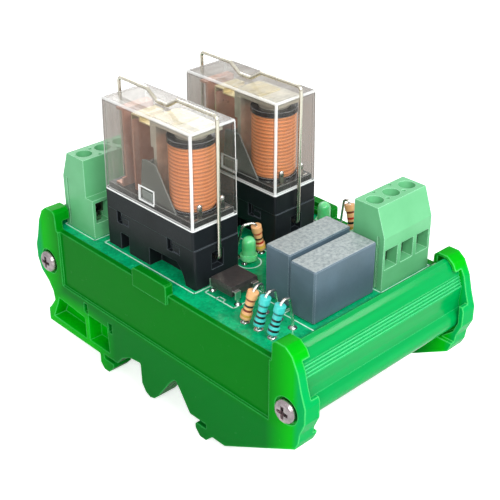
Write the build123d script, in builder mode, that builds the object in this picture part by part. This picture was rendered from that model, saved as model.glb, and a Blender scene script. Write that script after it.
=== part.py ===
from build123d import *
import os

# Relay module board: two plug-in relays on a board in a green carrier that clips to a 35 mm rail.
# X runs along the rail, Y across it, Z up. The foot tips stand on Z = 0. All sizes are in millimetres.

os.makedirs("parts", exist_ok=True)

# Carrier
board_thickness = 1.6
board_half_width = 39.6
slot_clearance = 0.15       # round the board's edge in the carrier's slot
inner_length = 48.2         # of the profile, between the two end plates
end_clearance = 0.1         # between the board's ends and the end plates
web_thickness = 2.0         # end plate over the profile's end
rim_depth = 4.0             # end plate and its rim, along X
foot_thickness = 5.0
lip_height = 4.2            # of the profile's lip above the board
channel_y = 39.0            # screw channel in the profile's lower corner
channel_drop = 9.2          # its centre below the board's top
channel_radius = 3.3
floor_thickness = 1.5
groove_depth = 0.25
panel_half_width = 34.3     # recessed panel on the outside of an end plate
panel_drop = 14.0
panel_recess = 0.6

# Rail foot for a 35 mm rail
rail_centre = 1.9
rail_width = 35.0
rail_thickness = 1.0
rail_clearance = 0.3
hook_reach = 3.5            # of a hook under the rail's edge
hook_wall = 1.4
hook_depth = 3.0            # of a hook below the rail's flange
seat_length = 5.2           # of the face on each flange
seat_drop = 25.9            # underside that rests on the rail, below the board's top
arm_step = 0.5              # latch arm's underside below that

# Fixings
screw_radius = 1.25
bore_clearance = 0.05
screw_hole_clearance = 0.4
screw_head_radius = 2.6
screw_head_height = 1.9
head_recess = 0.8
screw_length = 9.0

# Leads through the board
lead_clearance = 0.12
solder_height = 1.3
solder_margin = 0.45        # of solder round a lead

# Relays and their sockets
relay_pitch = 23.3
relay_1_x = -13.8
relay_y = 8.3
relay_width = 12.6
relay_length = 29.0
socket_height = 13.6
collar_height = 4.35        # upper part of the socket, over its set-back sides
side_set_back = 0.15
end_proud = 0.3             # of the socket's lower part beyond the relay's ends
cover_height = 21.1
cover_wall = 0.6
cover_draft = 0.7           # degrees
cover_clearance = 0.1       # between cover and base
base_height = 1.6
blade_thickness = 0.5
blade_width = 2.4
blade_reach = 6.5           # below the relay's base
wire_radius = 0.4
wire_clearance = 0.1        # over the cover's top
clip_gap = 0.1
clip_sheet = 0.4
clip_depth = 7.5

# Relay working parts, heights from the socket's top and places from the relay's coil end
coil_place = 6.9
coil_top = 16.4
coil_radius = 4.95
flange_radius = 5.1
flange_thickness = 1.1
core_radius = 2.2
core_clearance = 0.05
pole_radius = 3.4
pole_height = 0.6
yoke_place = 12.6
yoke_thickness = 1.0
yoke_width = 9.0
armature_thickness = 1.0
armature_gap = 0.55         # over the pole at rest
armature_width = 8.6
armature_tail = 5.0         # down behind the yoke
tail_gap = 0.3
tail_thickness = 0.8
leaf_width = 6.4
leaf_place = 22.2           # of the contact leaf's upright
spring_thickness = 0.25
rivet_radius = 1.1
rivet_height = 0.4
rest_gap = 0.05             # between the contacts that are closed at rest
contact_travel = 0.75       # between the contacts that are open at rest
rivet_place = 8.4
plate_width = 8.0           # of the fixed contacts
wall_place = 14.75          # insulating wall
wall_height = 9.0

# Terminal blocks
block_length = 15.3
block_height = 18.4
block_kink = 12.2
block_depth = 10.7
terminal_pitch = 5.08
window_low = 4.7            # wire window above the board
window_high = 9.3
well_radius = 1.85
clamp_clearance = 0.1
clamp_sheet = 0.45
control_block_x = -13.85
control_block_face = 36.9   # outer face from the middle
output_block_x = 15.45
output_block_face = 32.8

# Capacitors, bridge rectifiers, lamps and resistors
capacitor_length = 18.0
capacitor_width = 6.8
capacitor_height = 12.0
capacitor_pitch = 15.0
rectifier_length = 7.3
rectifier_width = 6.4
rectifier_height = 2.3
rectifier_standoff = 1.7
rectifier_pitch = 5.08
rectifier_rows = 7.62
led_radius = 1.5
led_height = 5.3
led_standoff = 1.0
resistor_length = 6.3
resistor_radius = 1.15
loop_bend = 0.28            # radius of the wire's bends, as a share of its span
lead_radius = 0.3

board_top = seat_drop + rail_thickness + rail_clearance + hook_depth
board_bottom = board_top - board_thickness
outer_x = inner_length / 2 + web_thickness
relay_x = [relay_1_x, relay_1_x + relay_pitch]
socket_top = board_top + socket_height

lead_places = []


def save(part, name):
    part.label = name
    export_step(part, f"parts/{name}.step")


def need_lead(x, y, radius):
    """Note a lead that goes down through the board at x, y."""
    lead_places.append((x, y, radius))


# Carrier profile, one extrusion with a slot for the board on each side
wall_outline = [
    (38.6, slot_clearance), (37.05, lip_height - 1), (37.2, lip_height - 0.3), (37.8, lip_height),
    (38.7, lip_height - 0.3), (39.5, lip_height - 1.2), (40.5, 0.9), (41.5, -1.8), (41.2, -5.2),
    (41.5, -channel_drop), (39.7, -channel_drop), (40.0, -board_thickness - 1.3),
    (37.6, -board_thickness - 1.3), (37.6, -board_thickness),
    (board_half_width + slot_clearance, -board_thickness),
    (board_half_width + slot_clearance, slot_clearance),
]
with BuildPart() as carrier_profile:
    with BuildSketch(Plane.YZ.offset(-inner_length / 2)):
        with BuildLine():
            Polyline([(y, board_top + z) for y, z in wall_outline], close=True)
        make_face()
        with Locations((channel_y, board_top - channel_drop)):
            Circle(channel_radius)
        floor_z = board_top - channel_drop - channel_radius
        with Locations((channel_y / 2, floor_z + floor_thickness / 2)):
            Rectangle(channel_y, floor_thickness)
        with Locations((channel_y, board_top - channel_drop)):
            Circle(screw_radius + bore_clearance, mode=Mode.SUBTRACT)
        for step in range(4):
            along = 0.14 + 0.24 * step
            with Locations((40.5 + 1.0 * along, board_top + 0.9 - 2.7 * along)):
                Circle(groove_depth, mode=Mode.SUBTRACT)
        mirror(about=Plane.YZ)
    extrude(amount=inner_length)
save(carrier_profile.part, "carrier_profile")


# End plates, mirrored: ears round the profile's ends and a foot for the rail
left_edge = rail_centre + rail_width / 2 + rail_clearance
right_edge = rail_centre - rail_width / 2 - rail_clearance
slot_low = -seat_drop - rail_thickness - rail_clearance
tip_low = -board_top
arm_low = -seat_drop - arm_step
ear = [(34.9, 0.1), (35.1, 4.3), (35.9, 5.0), (38.5, 5.0), (40.2, 3.7), (41.8, 0.6), (42.8, -3.3),
       (43.9, -6.5), (43.9, -10.0), (42.7, -12.9)]
foot = [
    (40.2, -15.0), (38.7, -17.2), (38.3, -19.6), (40.3, -22.2), (41.3, -23.2), (41.3, arm_low),
    (left_edge + hook_wall, arm_low), (left_edge + hook_wall, tip_low + 1.4),
    (left_edge + 0.2, tip_low), (left_edge - 1.6, tip_low), (left_edge - hook_reach, tip_low + 2.0),
    (left_edge - hook_reach, slot_low), (left_edge, slot_low), (left_edge, -seat_drop),
    (left_edge - seat_length, -seat_drop), (12.6, -23.6), (9.6, -21.9), (5.8, -21.4), (5.6, -26.6),
    (4.4, -28.4), (2.9, -29.1), (1.4, -28.6), (0.2, -27.5), (-4.4, -21.2), (-6.2, -19.5), (-7.8, -21.6),
    (right_edge + seat_length, -seat_drop), (right_edge, -seat_drop), (right_edge, slot_low),
    (right_edge + hook_reach, slot_low), (right_edge + hook_reach, tip_low + 1.6),
    (right_edge + hook_reach - 1.4, tip_low), (right_edge + 0.2, tip_low),
    (right_edge - hook_wall - 0.4, -28.2), (-21.6, -28.2), (-41.6, -17.0), (-42.4, -15.2),
]
plate_points = ear + foot + [(-y, z) for y, z in reversed(ear)]
with BuildSketch(Plane.YZ) as plate_shape:
    with BuildLine():
        FilletPolyline(*[(y, board_top + z) for y, z in plate_points], radius=0.45, close=True)
    make_face()
plate_outline = plate_shape.sketch_local


lip_pocket = [(36.0, 1.0), (36.0, 4.2), (36.5, 4.35), (38.4, 4.35), (39.75, 3.1), (40.75, 1.0)]
channel_pocket = [(36.0, -5.0), (42.7, -5.0), (42.8, -9.6), (41.8, -12.2), (39.4, -14.2), (38.0, -16.2),
                  (37.9, -17.0), (36.0, -17.0)]


def outline_face(points):
    """Closed outline of points given from the middle and from the board's top."""
    Polygon(*[(y, board_top + z) for y, z in points], align=None)


def make_end_plate(side):
    outer = Plane.YZ.offset(side * outer_x)
    inward = -side
    screw_places = [(s * channel_y, board_top - channel_drop) for s in (-1, 1)]
    foot_top = board_top - panel_drop - panel_recess
    with BuildPart() as plate:
        with BuildSketch(outer):
            add(plate_outline)
        extrude(amount=inward * web_thickness)
        with BuildSketch(outer):
            add(plate_outline)
            with Locations((0, foot_top + 25)):
                Rectangle(100, 50, mode=Mode.SUBTRACT)
        extrude(amount=inward * foot_thickness)
        # Rims round the profile's lip and round its screw channel
        for low, high, inner, pocket in ((2.2, 8.0, 34.0, lip_pocket), (-16.4, -5.4, 37.0, channel_pocket)):
            with BuildSketch(outer):
                add(plate_outline)
                for s in (-1, 1):
                    Polygon(*[(s * y, board_top + z) for y, z in pocket], align=None, mode=Mode.SUBTRACT)
                with Locations((0, board_top)):
                    Rectangle(2 * inner, 100, mode=Mode.SUBTRACT)
                with Locations((0, board_top + high + 25), (0, board_top + low - 25)):
                    Rectangle(100, 50, mode=Mode.SUBTRACT)
            extrude(amount=inward * rim_depth)
        with BuildSketch(outer):
            with Locations((0, board_top - panel_drop + 10)):
                Rectangle(2 * panel_half_width, 20)
        extrude(amount=inward * panel_recess, mode=Mode.SUBTRACT)
        with BuildSketch(outer):
            with Locations(*screw_places):
                Circle(screw_head_radius + screw_hole_clearance)
        extrude(amount=inward * head_recess, mode=Mode.SUBTRACT)
        with BuildSketch(outer):
            with Locations(*screw_places):
                Circle(screw_radius + screw_hole_clearance)
        extrude(amount=inward * web_thickness, mode=Mode.SUBTRACT)
        # Pockets and slits that free the latch arm
        with BuildSketch(outer):
            outline_face([(26.2, -19.0), (36.4, -18.2), (37.4, -20.6), (39.4, -24.6), (26.2, -24.8)])
            outline_face([(17.6, -17.6), (24.8, -17.6), (24.8, -24.6), (17.2, -24.6)])
        extrude(amount=inward * 3.4, mode=Mode.SUBTRACT)
        with BuildSketch(outer):
            with Locations((25.5, board_top - 16.2), (16.4, board_top - 17.4)):
                Rectangle(1.4, 2.6)
        extrude(amount=inward * foot_thickness, mode=Mode.SUBTRACT)
        # Snap tab with a nose over the board's end
        with BuildSketch(outer):
            outline_face([(-4.1, -1.8), (-4.1, 2.4), (-3.7, 2.7), (2.0, 2.8), (6.4, 2.7), (6.9, 2.2),
                          (6.9, -1.8)])
        extrude(amount=inward * web_thickness)
        with BuildSketch(Plane.YZ.offset(side * (outer_x - web_thickness))):
            with Locations((1.3, board_top + 0.8)):
                Rectangle(7.4, 1.3)
        extrude(amount=inward * 1.0)
    return plate.part


save(make_end_plate(-1), "near_end_plate")
save(make_end_plate(1), "far_end_plate")


def make_plate_screws(side):
    """Two pan-head screws with a cross recess, driven along X into the profile."""
    seat_x = side * (outer_x - head_recess)
    face_x = seat_x + side * screw_head_height
    height = board_top - channel_drop
    with BuildPart() as screws:
        for y in (-channel_y, channel_y):
            with BuildSketch(Plane((seat_x, y, height), x_dir=(0, 1, 0), z_dir=(side, 0, 0))):
                Circle(screw_head_radius)
            extrude(amount=screw_head_height)
        dome = screws.faces().filter_by(Axis.X).sort_by(Axis.X)
        rims = (dome[-2:] if side > 0 else dome[:2]).edges()
        fillet(rims, screw_head_height * 0.55)
        for y in (-channel_y, channel_y):
            with BuildSketch(Plane((seat_x, y, height), x_dir=(0, 1, 0), z_dir=(-side, 0, 0))):
                Circle(screw_radius)
            extrude(amount=screw_length)
            with BuildSketch(Plane((face_x, y, height), x_dir=(0, 1, 0), z_dir=(-side, 0, 0))):
                Rectangle(3.0, 0.8)
                Rectangle(0.8, 3.0)
            extrude(amount=1.1, taper=12, mode=Mode.SUBTRACT)
    return screws.part


save(make_plate_screws(-1), "near_plate_screws")
save(make_plate_screws(1), "far_plate_screws")


# Relay sockets. Blade places are (x, y) from the socket's centre.
coil_blades = [(-3.75, 1.45 - relay_length / 2), (3.75, 1.45 - relay_length / 2)]
common_blade = (0.0, 13.85 - relay_length / 2)
closed_blade = (0.0, 17.6 - relay_length / 2)
open_blade = (0.0, relay_length / 2 - 2.8)
blades = coil_blades + [common_blade, closed_blade, open_blade]


socket_arch = [(14.7, -0.1), (14.7, 4.4), (5.6, 4.7), (4.2, 3.4), (3.3, 1.6), (2.8, -0.1)]


def make_socket(x):
    near_y = relay_y - relay_length / 2
    with BuildPart() as socket:
        with BuildSketch(Plane.XY.offset(board_top)):
            with Locations((x, relay_y)):
                RectangleRounded(relay_width - 2 * side_set_back, relay_length + 2 * end_proud, 0.5)
        extrude(amount=socket_height - collar_height)
        with BuildSketch(Plane.XY.offset(socket_top - collar_height)):
            with Locations((x, relay_y)):
                RectangleRounded(relay_width, relay_length, 0.5)
        extrude(amount=collar_height)
        for side in (-1, 1):
            face_plane = Plane.YZ.offset(x + side * relay_width / 2)
            # Arched relief under the long side, and a slot towards the contacts' end
            with BuildSketch(face_plane):
                Polygon(*[(near_y + along, board_top + z) for along, z in socket_arch], align=None)
            extrude(amount=-side * 3.5, mode=Mode.SUBTRACT)
            with BuildSketch(face_plane):
                with Locations((near_y + 23.15, board_top + 2.1)):
                    Rectangle(2.9, 4.2)
            extrude(amount=-side * 2.6, mode=Mode.SUBTRACT)
            # Latch windows, each with a sprung tab left standing a little back
            for start in (near_y, near_y + 17.0):
                with BuildSketch(face_plane):
                    with Locations((start + 7.7, board_top + 7.9)):
                        Rectangle(1.6, 3.0)
                    with Locations((start + 5.75, board_top + 7.5)):
                        Rectangle(2.5, 1.8)
                    with Locations((start + 5.95, board_top + 7.3)):
                        Rectangle(2.1, 1.4, mode=Mode.SUBTRACT)
                extrude(amount=-side * 1.2, mode=Mode.SUBTRACT)
                with BuildSketch(face_plane):
                    with Locations((start + 5.95, board_top + 7.3)):
                        Rectangle(2.1, 1.4)
                extrude(amount=-side * 0.4, mode=Mode.SUBTRACT)
        # Recess for the retaining wire's end in each short side
        for side, y in ((1, near_y - end_proud), (-1, near_y + relay_length + end_proud)):
            with BuildSketch(Plane.XZ.offset(-y)):
                with Locations((x, board_top + 5.4)):
                    Rectangle(3.2, 4.0)
            extrude(amount=-side * (1.5 + end_proud), mode=Mode.SUBTRACT)
        # Pockets for the blade clips, with a way down for each tail
        with BuildSketch(Plane.XY.offset(socket_top)):
            with Locations(*[(x + dx, relay_y + dy) for dx, dy in blades]):
                Rectangle(blade_width + 0.3, blade_thickness + 2 * (clip_gap + clip_sheet) + 0.2)
        extrude(amount=-clip_depth - 0.6, mode=Mode.SUBTRACT)
        with BuildSketch(Plane.XY.offset(board_top)):
            with Locations(*[(x + dx, relay_y + dy) for dx, dy in blades]):
                Rectangle(1.3, 0.6)
        extrude(amount=socket_height - clip_depth, mode=Mode.SUBTRACT)
    return socket.part


def make_clips(x):
    """One U-shaped clip for each blade, with a tail that is soldered into the board."""
    half = blade_thickness / 2 + clip_gap
    outer_half = half + clip_sheet
    floor = socket_top - clip_depth
    top = socket_top - 0.4
    with BuildPart() as clips:
        for dx, dy in blades:
            y = relay_y + dy
            with BuildSketch(Plane.YZ.offset(x + dx - blade_width / 2)):
                with Locations((y, (floor + top) / 2)):
                    Rectangle(2 * outer_half, top - floor + 2 * clip_sheet)
                with Locations((y, (floor + top) / 2 + 5)):
                    Rectangle(2 * half, top - floor + 10, mode=Mode.SUBTRACT)
                with Locations((y, top + 5)):
                    Rectangle(2 * outer_half, 10, mode=Mode.SUBTRACT)
            extrude(amount=blade_width)
            with BuildSketch(Plane.XY.offset(board_bottom)):
                with Locations((x + dx, y)):
                    Rectangle(1.1, clip_sheet)
            extrude(amount=floor - clip_sheet / 2 - board_bottom)
            need_lead(x + dx, y, 0.6)
    return clips.part


def make_retaining_wire(x):
    """One wire over the cover, with a dip that presses on the cover's top."""
    near = relay_y - relay_length / 2 - 0.9
    far = relay_y + relay_length / 2 + 1.1
    low = board_top + 5.6
    crown = socket_top + cover_height + 2.4
    dip = socket_top + cover_height + wire_radius + wire_clearance
    points = [
        (x, near + 2.1, low), (x, near, low), (x, near, crown), (x, near + 11.9, crown),
        (x, near + 14.9, dip), (x, near + 18.5, dip), (x, near + 21.3, crown), (x, far, crown),
        (x, far, low), (x, far - 2.3, low),
    ]
    with BuildPart() as wire:
        with BuildLine() as route:
            FilletPolyline(*points, radius=0.9)
        with BuildSketch(Plane(points[0], z_dir=(0, -1, 0))):
            Circle(wire_radius)
        sweep(path=route.wires()[0])
    return wire.part


# Relay working parts, from the socket's top upwards
relay_near = relay_y - relay_length / 2
coil_y = relay_near + coil_place
coil_low = socket_top + base_height + 0.7
coil_high = socket_top + coil_top
pole_top = coil_high + flange_thickness + pole_height
yoke_y = relay_near + yoke_place
armature_low = pole_top + armature_gap
tail_y = yoke_y + yoke_thickness + tail_gap
contact_height = socket_top + rivet_place
moving_y = relay_near + leaf_place
wall_y = relay_near + wall_place


def make_cover(x):
    with BuildPart() as cover:
        with BuildSketch(Plane.XY.offset(socket_top)):
            with Locations((x, relay_y)):
                RectangleRounded(relay_width, relay_length, 0.6)
        extrude(amount=cover_height, taper=cover_draft)
        fillet(cover.faces().sort_by(Axis.Z)[-1].edges(), 0.5)
        with BuildSketch(Plane.XY.offset(socket_top)):
            with Locations((x, relay_y)):
                Rectangle(relay_width - 2 * cover_wall, relay_length - 2 * cover_wall)
        extrude(amount=cover_height - cover_wall, taper=cover_draft, mode=Mode.SUBTRACT)
        # Latch window in each long side, round the base's catch
        with BuildSketch(Plane.YZ.offset(x - relay_width)):
            with Locations((relay_y + 0.1, socket_top + 3.2)):
                Rectangle(4.6, 3.0)
        extrude(amount=2 * relay_width, mode=Mode.SUBTRACT)
    return cover.part


def make_base(x):
    half_width = relay_width / 2 - cover_wall - cover_clearance
    half_length = relay_length / 2 - cover_wall - cover_clearance
    top = socket_top + base_height
    with BuildPart() as base:
        with BuildSketch(Plane.XY.offset(socket_top)):
            with Locations((x, relay_y)):
                Rectangle(2 * half_width, 2 * half_length)
        extrude(amount=base_height)
        # Insulating wall between coil and contacts, with a gusset and a catch at each side
        with BuildSketch(Plane.XY.offset(top)):
            with Locations((x, wall_y)):
                Rectangle(2 * half_width - 0.3, 0.7)
        extrude(amount=wall_height)
        for side in (-1, 1):
            with BuildSketch(Plane.YZ.offset(x + side * (half_width - 0.15))):
                Polygon((coil_y - 0.8, top), (wall_y - 2.65, top + wall_height),
                        (wall_y + 0.55, top + wall_height + 0.3), (wall_y + 1.75, top + wall_height - 0.1),
                        (wall_y + 2.75, top), align=None)
            extrude(amount=-side * 0.32)
            with BuildSketch(Plane.YZ.offset(x + side * (half_width - 0.15))):
                Polygon((relay_y - 1.6, top + 0.4), (relay_y - 1.6, top + 2.4),
                        (relay_y + 1.6, top + 2.4), (relay_y + 1.6, top + 0.4), align=None)
            extrude(amount=side * 0.6)
        # Ways through for the blades
        with BuildSketch(Plane.XY.offset(socket_top)):
            with Locations(*[(x + dx, relay_y + dy) for dx, dy in blades]):
                Rectangle(blade_width + 0.1, blade_thickness + 0.1)
        extrude(amount=base_height, mode=Mode.SUBTRACT)
        # Seat for the yoke's foot and the core's end
        with BuildSketch(Plane.XY.offset(top)):
            with Locations((x, (coil_y - 3.0 + yoke_y + yoke_thickness) / 2)):
                Rectangle(yoke_width + 0.1, yoke_y + yoke_thickness - coil_y + 3.1)
        extrude(amount=-yoke_thickness, mode=Mode.SUBTRACT)
    return base.part


def make_bobbin(x):
    with BuildPart() as bobbin:
        for low, height, radius in (
            (socket_top + base_height, coil_low - socket_top - base_height, flange_radius),
            (coil_low, coil_high - coil_low, core_radius + 0.6),
            (coil_high, flange_thickness, flange_radius),
        ):
            with BuildSketch(Plane.XY.offset(low)):
                with Locations((x, coil_y)):
                    Circle(radius)
                    Circle(core_radius + core_clearance, mode=Mode.SUBTRACT)
            extrude(amount=height)
    return bobbin.part


def make_winding(x):
    with BuildPart() as winding:
        with BuildSketch(Plane.XY.offset(coil_low)):
            with Locations((x, coil_y)):
                Circle(coil_radius)
                Circle(core_radius + 0.6, mode=Mode.SUBTRACT)
        extrude(amount=coil_high - coil_low)
    return winding.part


def make_core(x):
    """Round iron core, riveted in the yoke's foot, with a wider pole on top."""
    low = socket_top + base_height - yoke_thickness
    shoulder = coil_high + flange_thickness
    with BuildPart() as core:
        with BuildSketch(Plane.XY.offset(low)):
            with Locations((x, coil_y)):
                Circle(core_radius)
        extrude(amount=shoulder - low)
        with BuildSketch(Plane.XY.offset(shoulder)):
            with Locations((x, coil_y)):
                Circle(pole_radius)
        extrude(amount=pole_top - shoulder)
    return core.part


def make_yoke(x):
    """L-shaped iron: a foot under the coil and an upright whose top edge carries the armature."""
    low = socket_top + base_height - yoke_thickness
    with BuildPart() as yoke:
        with BuildSketch(Plane.YZ.offset(x - yoke_width / 2)):
            Polygon((coil_y - 3.0, low), (yoke_y + yoke_thickness, low),
                    (yoke_y + yoke_thickness, armature_low), (yoke_y, armature_low),
                    (yoke_y, low + yoke_thickness), (coil_y - 3.0, low + yoke_thickness), align=None)
        extrude(amount=yoke_width)
        with BuildSketch(Plane.XY.offset(low)):
            with Locations((x, coil_y)):
                Circle(core_radius + core_clearance)
        extrude(amount=yoke_thickness, mode=Mode.SUBTRACT)
    return yoke.part


def make_armature(x):
    """Flat iron flap over the pole, with a tail down behind the yoke."""
    top = armature_low + armature_thickness
    tail_low = armature_low - armature_tail
    tail_back = tail_y + tail_thickness
    with BuildPart() as armature:
        with BuildSketch(Plane.YZ.offset(x - armature_width / 2)):
            Polygon((coil_y - 4.6, armature_low), (tail_y, armature_low), (tail_y, tail_low),
                    (tail_back, tail_low), (tail_back, top), (coil_y - 4.6, top), align=None)
        extrude(amount=armature_width)
    return armature.part


def make_moving_contact(x):
    """Leaf spring over the armature's top and behind its tail, then down between the two fixed plates."""
    top = armature_low + armature_thickness
    drop_y = tail_y + tail_thickness + 0.05 + spring_thickness / 2
    dip = socket_top + 17.3
    step_y = moving_y - 2.6
    bridge = dip + 0.9
    low = contact_height - rivet_radius - 0.5
    runs = (
        (coil_y + 1.5, drop_y, top, top), (drop_y, drop_y, dip, top), (drop_y, step_y, dip, dip),
        (step_y, step_y, dip, bridge), (step_y, moving_y, bridge, bridge), (moving_y, moving_y, low, bridge),
    )
    with BuildPart() as moving:
        with BuildSketch(Plane.YZ.offset(x - leaf_width / 2)):
            for low_y, high_y, low_z, high_z in runs:
                with Locations(((low_y + high_y) / 2, (low_z + high_z + spring_thickness) / 2)):
                    Rectangle(high_y - low_y + spring_thickness, high_z - low_z + spring_thickness)
        extrude(amount=leaf_width)
        with BuildSketch(Plane.XZ.offset(rivet_height + spring_thickness / 2 - moving_y)):
            with Locations((x, contact_height)):
                Circle(rivet_radius)
        extrude(amount=-2 * rivet_height - spring_thickness)
    return moving.part


def make_fixed_plate(x, plate_y, facing, top, blade, flange, foot_width):
    """Upright plate with a rivet, a flange on top and a foot that leads to its blade below the base."""
    foot_low = socket_top + base_height
    blade_y = relay_y + blade[1]
    with BuildPart() as fixed:
        with BuildSketch(Plane.XZ.offset(-plate_y)):
            with Locations((x, (foot_low + top) / 2)):
                Rectangle(plate_width, top - foot_low)
            with Locations((x, foot_low + 1)):
                Rectangle(foot_width, 2)
        extrude(amount=-blade_thickness)
        with BuildSketch(Plane.XY.offset(top)):
            with Locations((x, plate_y + (flange + blade_thickness) / 2)):
                Rectangle(plate_width, flange + blade_thickness)
        extrude(amount=-blade_thickness)
        low_y = min(plate_y, blade_y - blade_thickness / 2)
        high_y = max(plate_y + blade_thickness, blade_y + blade_thickness / 2)
        with BuildSketch(Plane.XY.offset(foot_low)):
            with Locations((x, (low_y + high_y) / 2)):
                Rectangle(foot_width, high_y - low_y)
        extrude(amount=blade_thickness)
        with BuildSketch(Plane.XY.offset(foot_low + blade_thickness)):
            with Locations((x + blade[0], blade_y)):
                Rectangle(blade_width, blade_thickness)
        extrude(amount=-blade_thickness - base_height - blade_reach)
        rivet_y = plate_y if facing < 0 else plate_y + blade_thickness
        with BuildSketch(Plane.XZ.offset(-rivet_y)):
            with Locations((x, contact_height)):
                Circle(rivet_radius)
        extrude(amount=-facing * rivet_height)
    return fixed.part


def make_common_terminal(x):
    """Blade that rises through the base and lies against the yoke's back."""
    low_y = relay_y + common_blade[1] - blade_thickness / 2
    with BuildPart() as common:
        with BuildSketch(Plane.XZ.offset(-low_y)):
            with Locations((x, socket_top + (base_height + 5.0 - blade_reach) / 2)):
                Rectangle(blade_width, base_height + 5.0 + blade_reach)
        extrude(amount=-blade_thickness)
    return common.part


def make_coil_blades(x):
    """Two blades with a narrow post that the winding's ends are wrapped on."""
    with BuildPart() as coil_terminals:
        for dx, dy in coil_blades:
            low_y = relay_y + dy - blade_thickness / 2
            inward = -0.7 if dx > 0 else 0.7
            with BuildSketch(Plane.XZ.offset(-low_y)):
                with Locations((x + dx, socket_top + (base_height - blade_reach) / 2)):
                    Rectangle(blade_width, base_height + blade_reach)
                with Locations((x + dx + inward, socket_top + base_height + 1.3)):
                    Rectangle(1.0, 3.2)
            extrude(amount=-blade_thickness)
    return coil_terminals.part


for number, x in enumerate(relay_x, start=1):
    closed_y = moving_y - spring_thickness / 2 - 2 * rivet_height - rest_gap - blade_thickness
    open_y = moving_y + spring_thickness / 2 + 2 * rivet_height + contact_travel
    save(make_socket(x), f"relay_{number}_socket")
    save(make_clips(x), f"relay_{number}_socket_clips")
    save(make_retaining_wire(x), f"relay_{number}_retaining_wire")
    save(make_cover(x), f"relay_{number}_cover")
    save(make_base(x), f"relay_{number}_base")
    save(make_bobbin(x), f"relay_{number}_bobbin")
    save(make_winding(x), f"relay_{number}_winding")
    save(make_core(x), f"relay_{number}_core")
    save(make_yoke(x), f"relay_{number}_yoke")
    save(make_armature(x), f"relay_{number}_armature")
    save(make_moving_contact(x), f"relay_{number}_moving_contact")
    closed_contact = make_fixed_plate(x, closed_y, 1, socket_top + 17.5, closed_blade, 0.0, plate_width)
    open_contact = make_fixed_plate(x, open_y, -1, socket_top + 19.0, open_blade, 1.8, plate_width + 2)
    save(closed_contact, f"relay_{number}_closed_contact")
    save(open_contact, f"relay_{number}_open_contact")
    save(make_common_terminal(x), f"relay_{number}_common_terminal")
    save(make_coil_blades(x), f"relay_{number}_coil_blades")


# Terminal blocks. Depths are measured inwards from the outer face.
screw_depth = 5.2
post_depth = 8.8
cage_low = window_low + clamp_clearance
cage_high = window_high - clamp_clearance
block_profile = [
    (0, 0), (0, block_kink), (2.2, block_height), (8.3, block_height), (8.3, 9.4), (block_depth, 9.4),
    (block_depth, 0),
]
way_offsets = [-terminal_pitch, 0.0, terminal_pitch]


def slab(x, width, face, side, shallow, deep, low, high, mode=Mode.ADD):
    """Box in a terminal block, between two depths and two heights above the board."""
    with Locations((x, side * (face - (shallow + deep) / 2), board_top + (low + high) / 2)):
        Box(width, deep - shallow, high - low, mode=mode)


def make_block_housing(centre_x, face, side):
    low_x = centre_x - block_length / 2
    with BuildPart() as housing:
        with BuildSketch(Plane.YZ.offset(low_x)):
            Polygon(*[(side * (face - t), board_top + z) for t, z in block_profile], align=None)
        extrude(amount=block_length)
        screw_y = side * (face - screw_depth)
        with BuildSketch(Plane.XY.offset(board_top + block_height)):
            with Locations(*[(centre_x + dx, screw_y) for dx in way_offsets]):
                Circle(well_radius)
        extrude(amount=-8.0, mode=Mode.SUBTRACT)
        with BuildSketch(Plane.XY.offset(board_top + block_height)):
            with Locations(*[(centre_x + dx, screw_y) for dx in way_offsets]):
                Circle(screw_radius + 0.2)
        extrude(amount=window_high - block_height - 0.2, mode=Mode.SUBTRACT)
        # Test holes between the ways
        with BuildSketch(Plane.XY.offset(board_top + block_height)):
            for depth in (3.9, 7.7):
                y = side * (face - depth)
                with Locations((centre_x - terminal_pitch / 2, y), (centre_x + terminal_pitch / 2, y)):
                    Circle(0.45)
        extrude(amount=-1.2, mode=Mode.SUBTRACT)
        for dx in way_offsets:
            way = centre_x + dx
            slab(way, 3.9, face, side, -1.0, 8.4, window_low, window_high, Mode.SUBTRACT)
            slab(way, 3.6, face, side, 8.0, block_depth + 1, 3.6, 8.6, Mode.SUBTRACT)
            slab(way, 1.3, face, side, post_depth - 0.6, post_depth + 0.6, 0.0, window_low, Mode.SUBTRACT)
        slab(low_x, 0.8, face, side, 1.3, 1.8, 0.0, block_kink, Mode.SUBTRACT)
    return housing.part


def make_clamps(centre_x, face, side):
    """Three clamp cages, open towards the wire, with a hole on top for the screw."""
    with BuildPart() as clamps:
        for dx in way_offsets:
            way = centre_x + dx
            slab(way, 3.7, face, side, 2.6, 8.2, cage_low, cage_high)
            inner_low = cage_low + clamp_sheet
            slab(way, 2.8, face, side, 2.0, 8.8, inner_low, cage_high - clamp_sheet, Mode.SUBTRACT)
            with BuildSketch(Plane.XY.offset(board_top + cage_high)):
                with Locations((way, side * (face - screw_depth))):
                    Circle(screw_radius + bore_clearance)
            extrude(amount=-clamp_sheet, mode=Mode.SUBTRACT)
    return clamps.part


def make_clamp_screws(centre_x, face, side):
    with BuildPart() as screws:
        screw_y = side * (face - screw_depth)
        for dx in way_offsets:
            place = (centre_x + dx, screw_y)
            with BuildSketch(Plane.XY.offset(board_top + 6.4)):
                with Locations(place):
                    Circle(screw_radius)
            extrude(amount=4.2)
            with BuildSketch(Plane.XY.offset(board_top + 10.5)):
                with Locations(place):
                    Circle(well_radius - 0.15)
            extrude(amount=2.1)
            with BuildSketch(Plane.XY.offset(board_top + 12.6)):
                with Locations(place):
                    Rectangle(0.8, 2 * well_radius, rotation=35 + 40 * dx)
            extrude(amount=-1.1, mode=Mode.SUBTRACT)
    return screws.part


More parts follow.
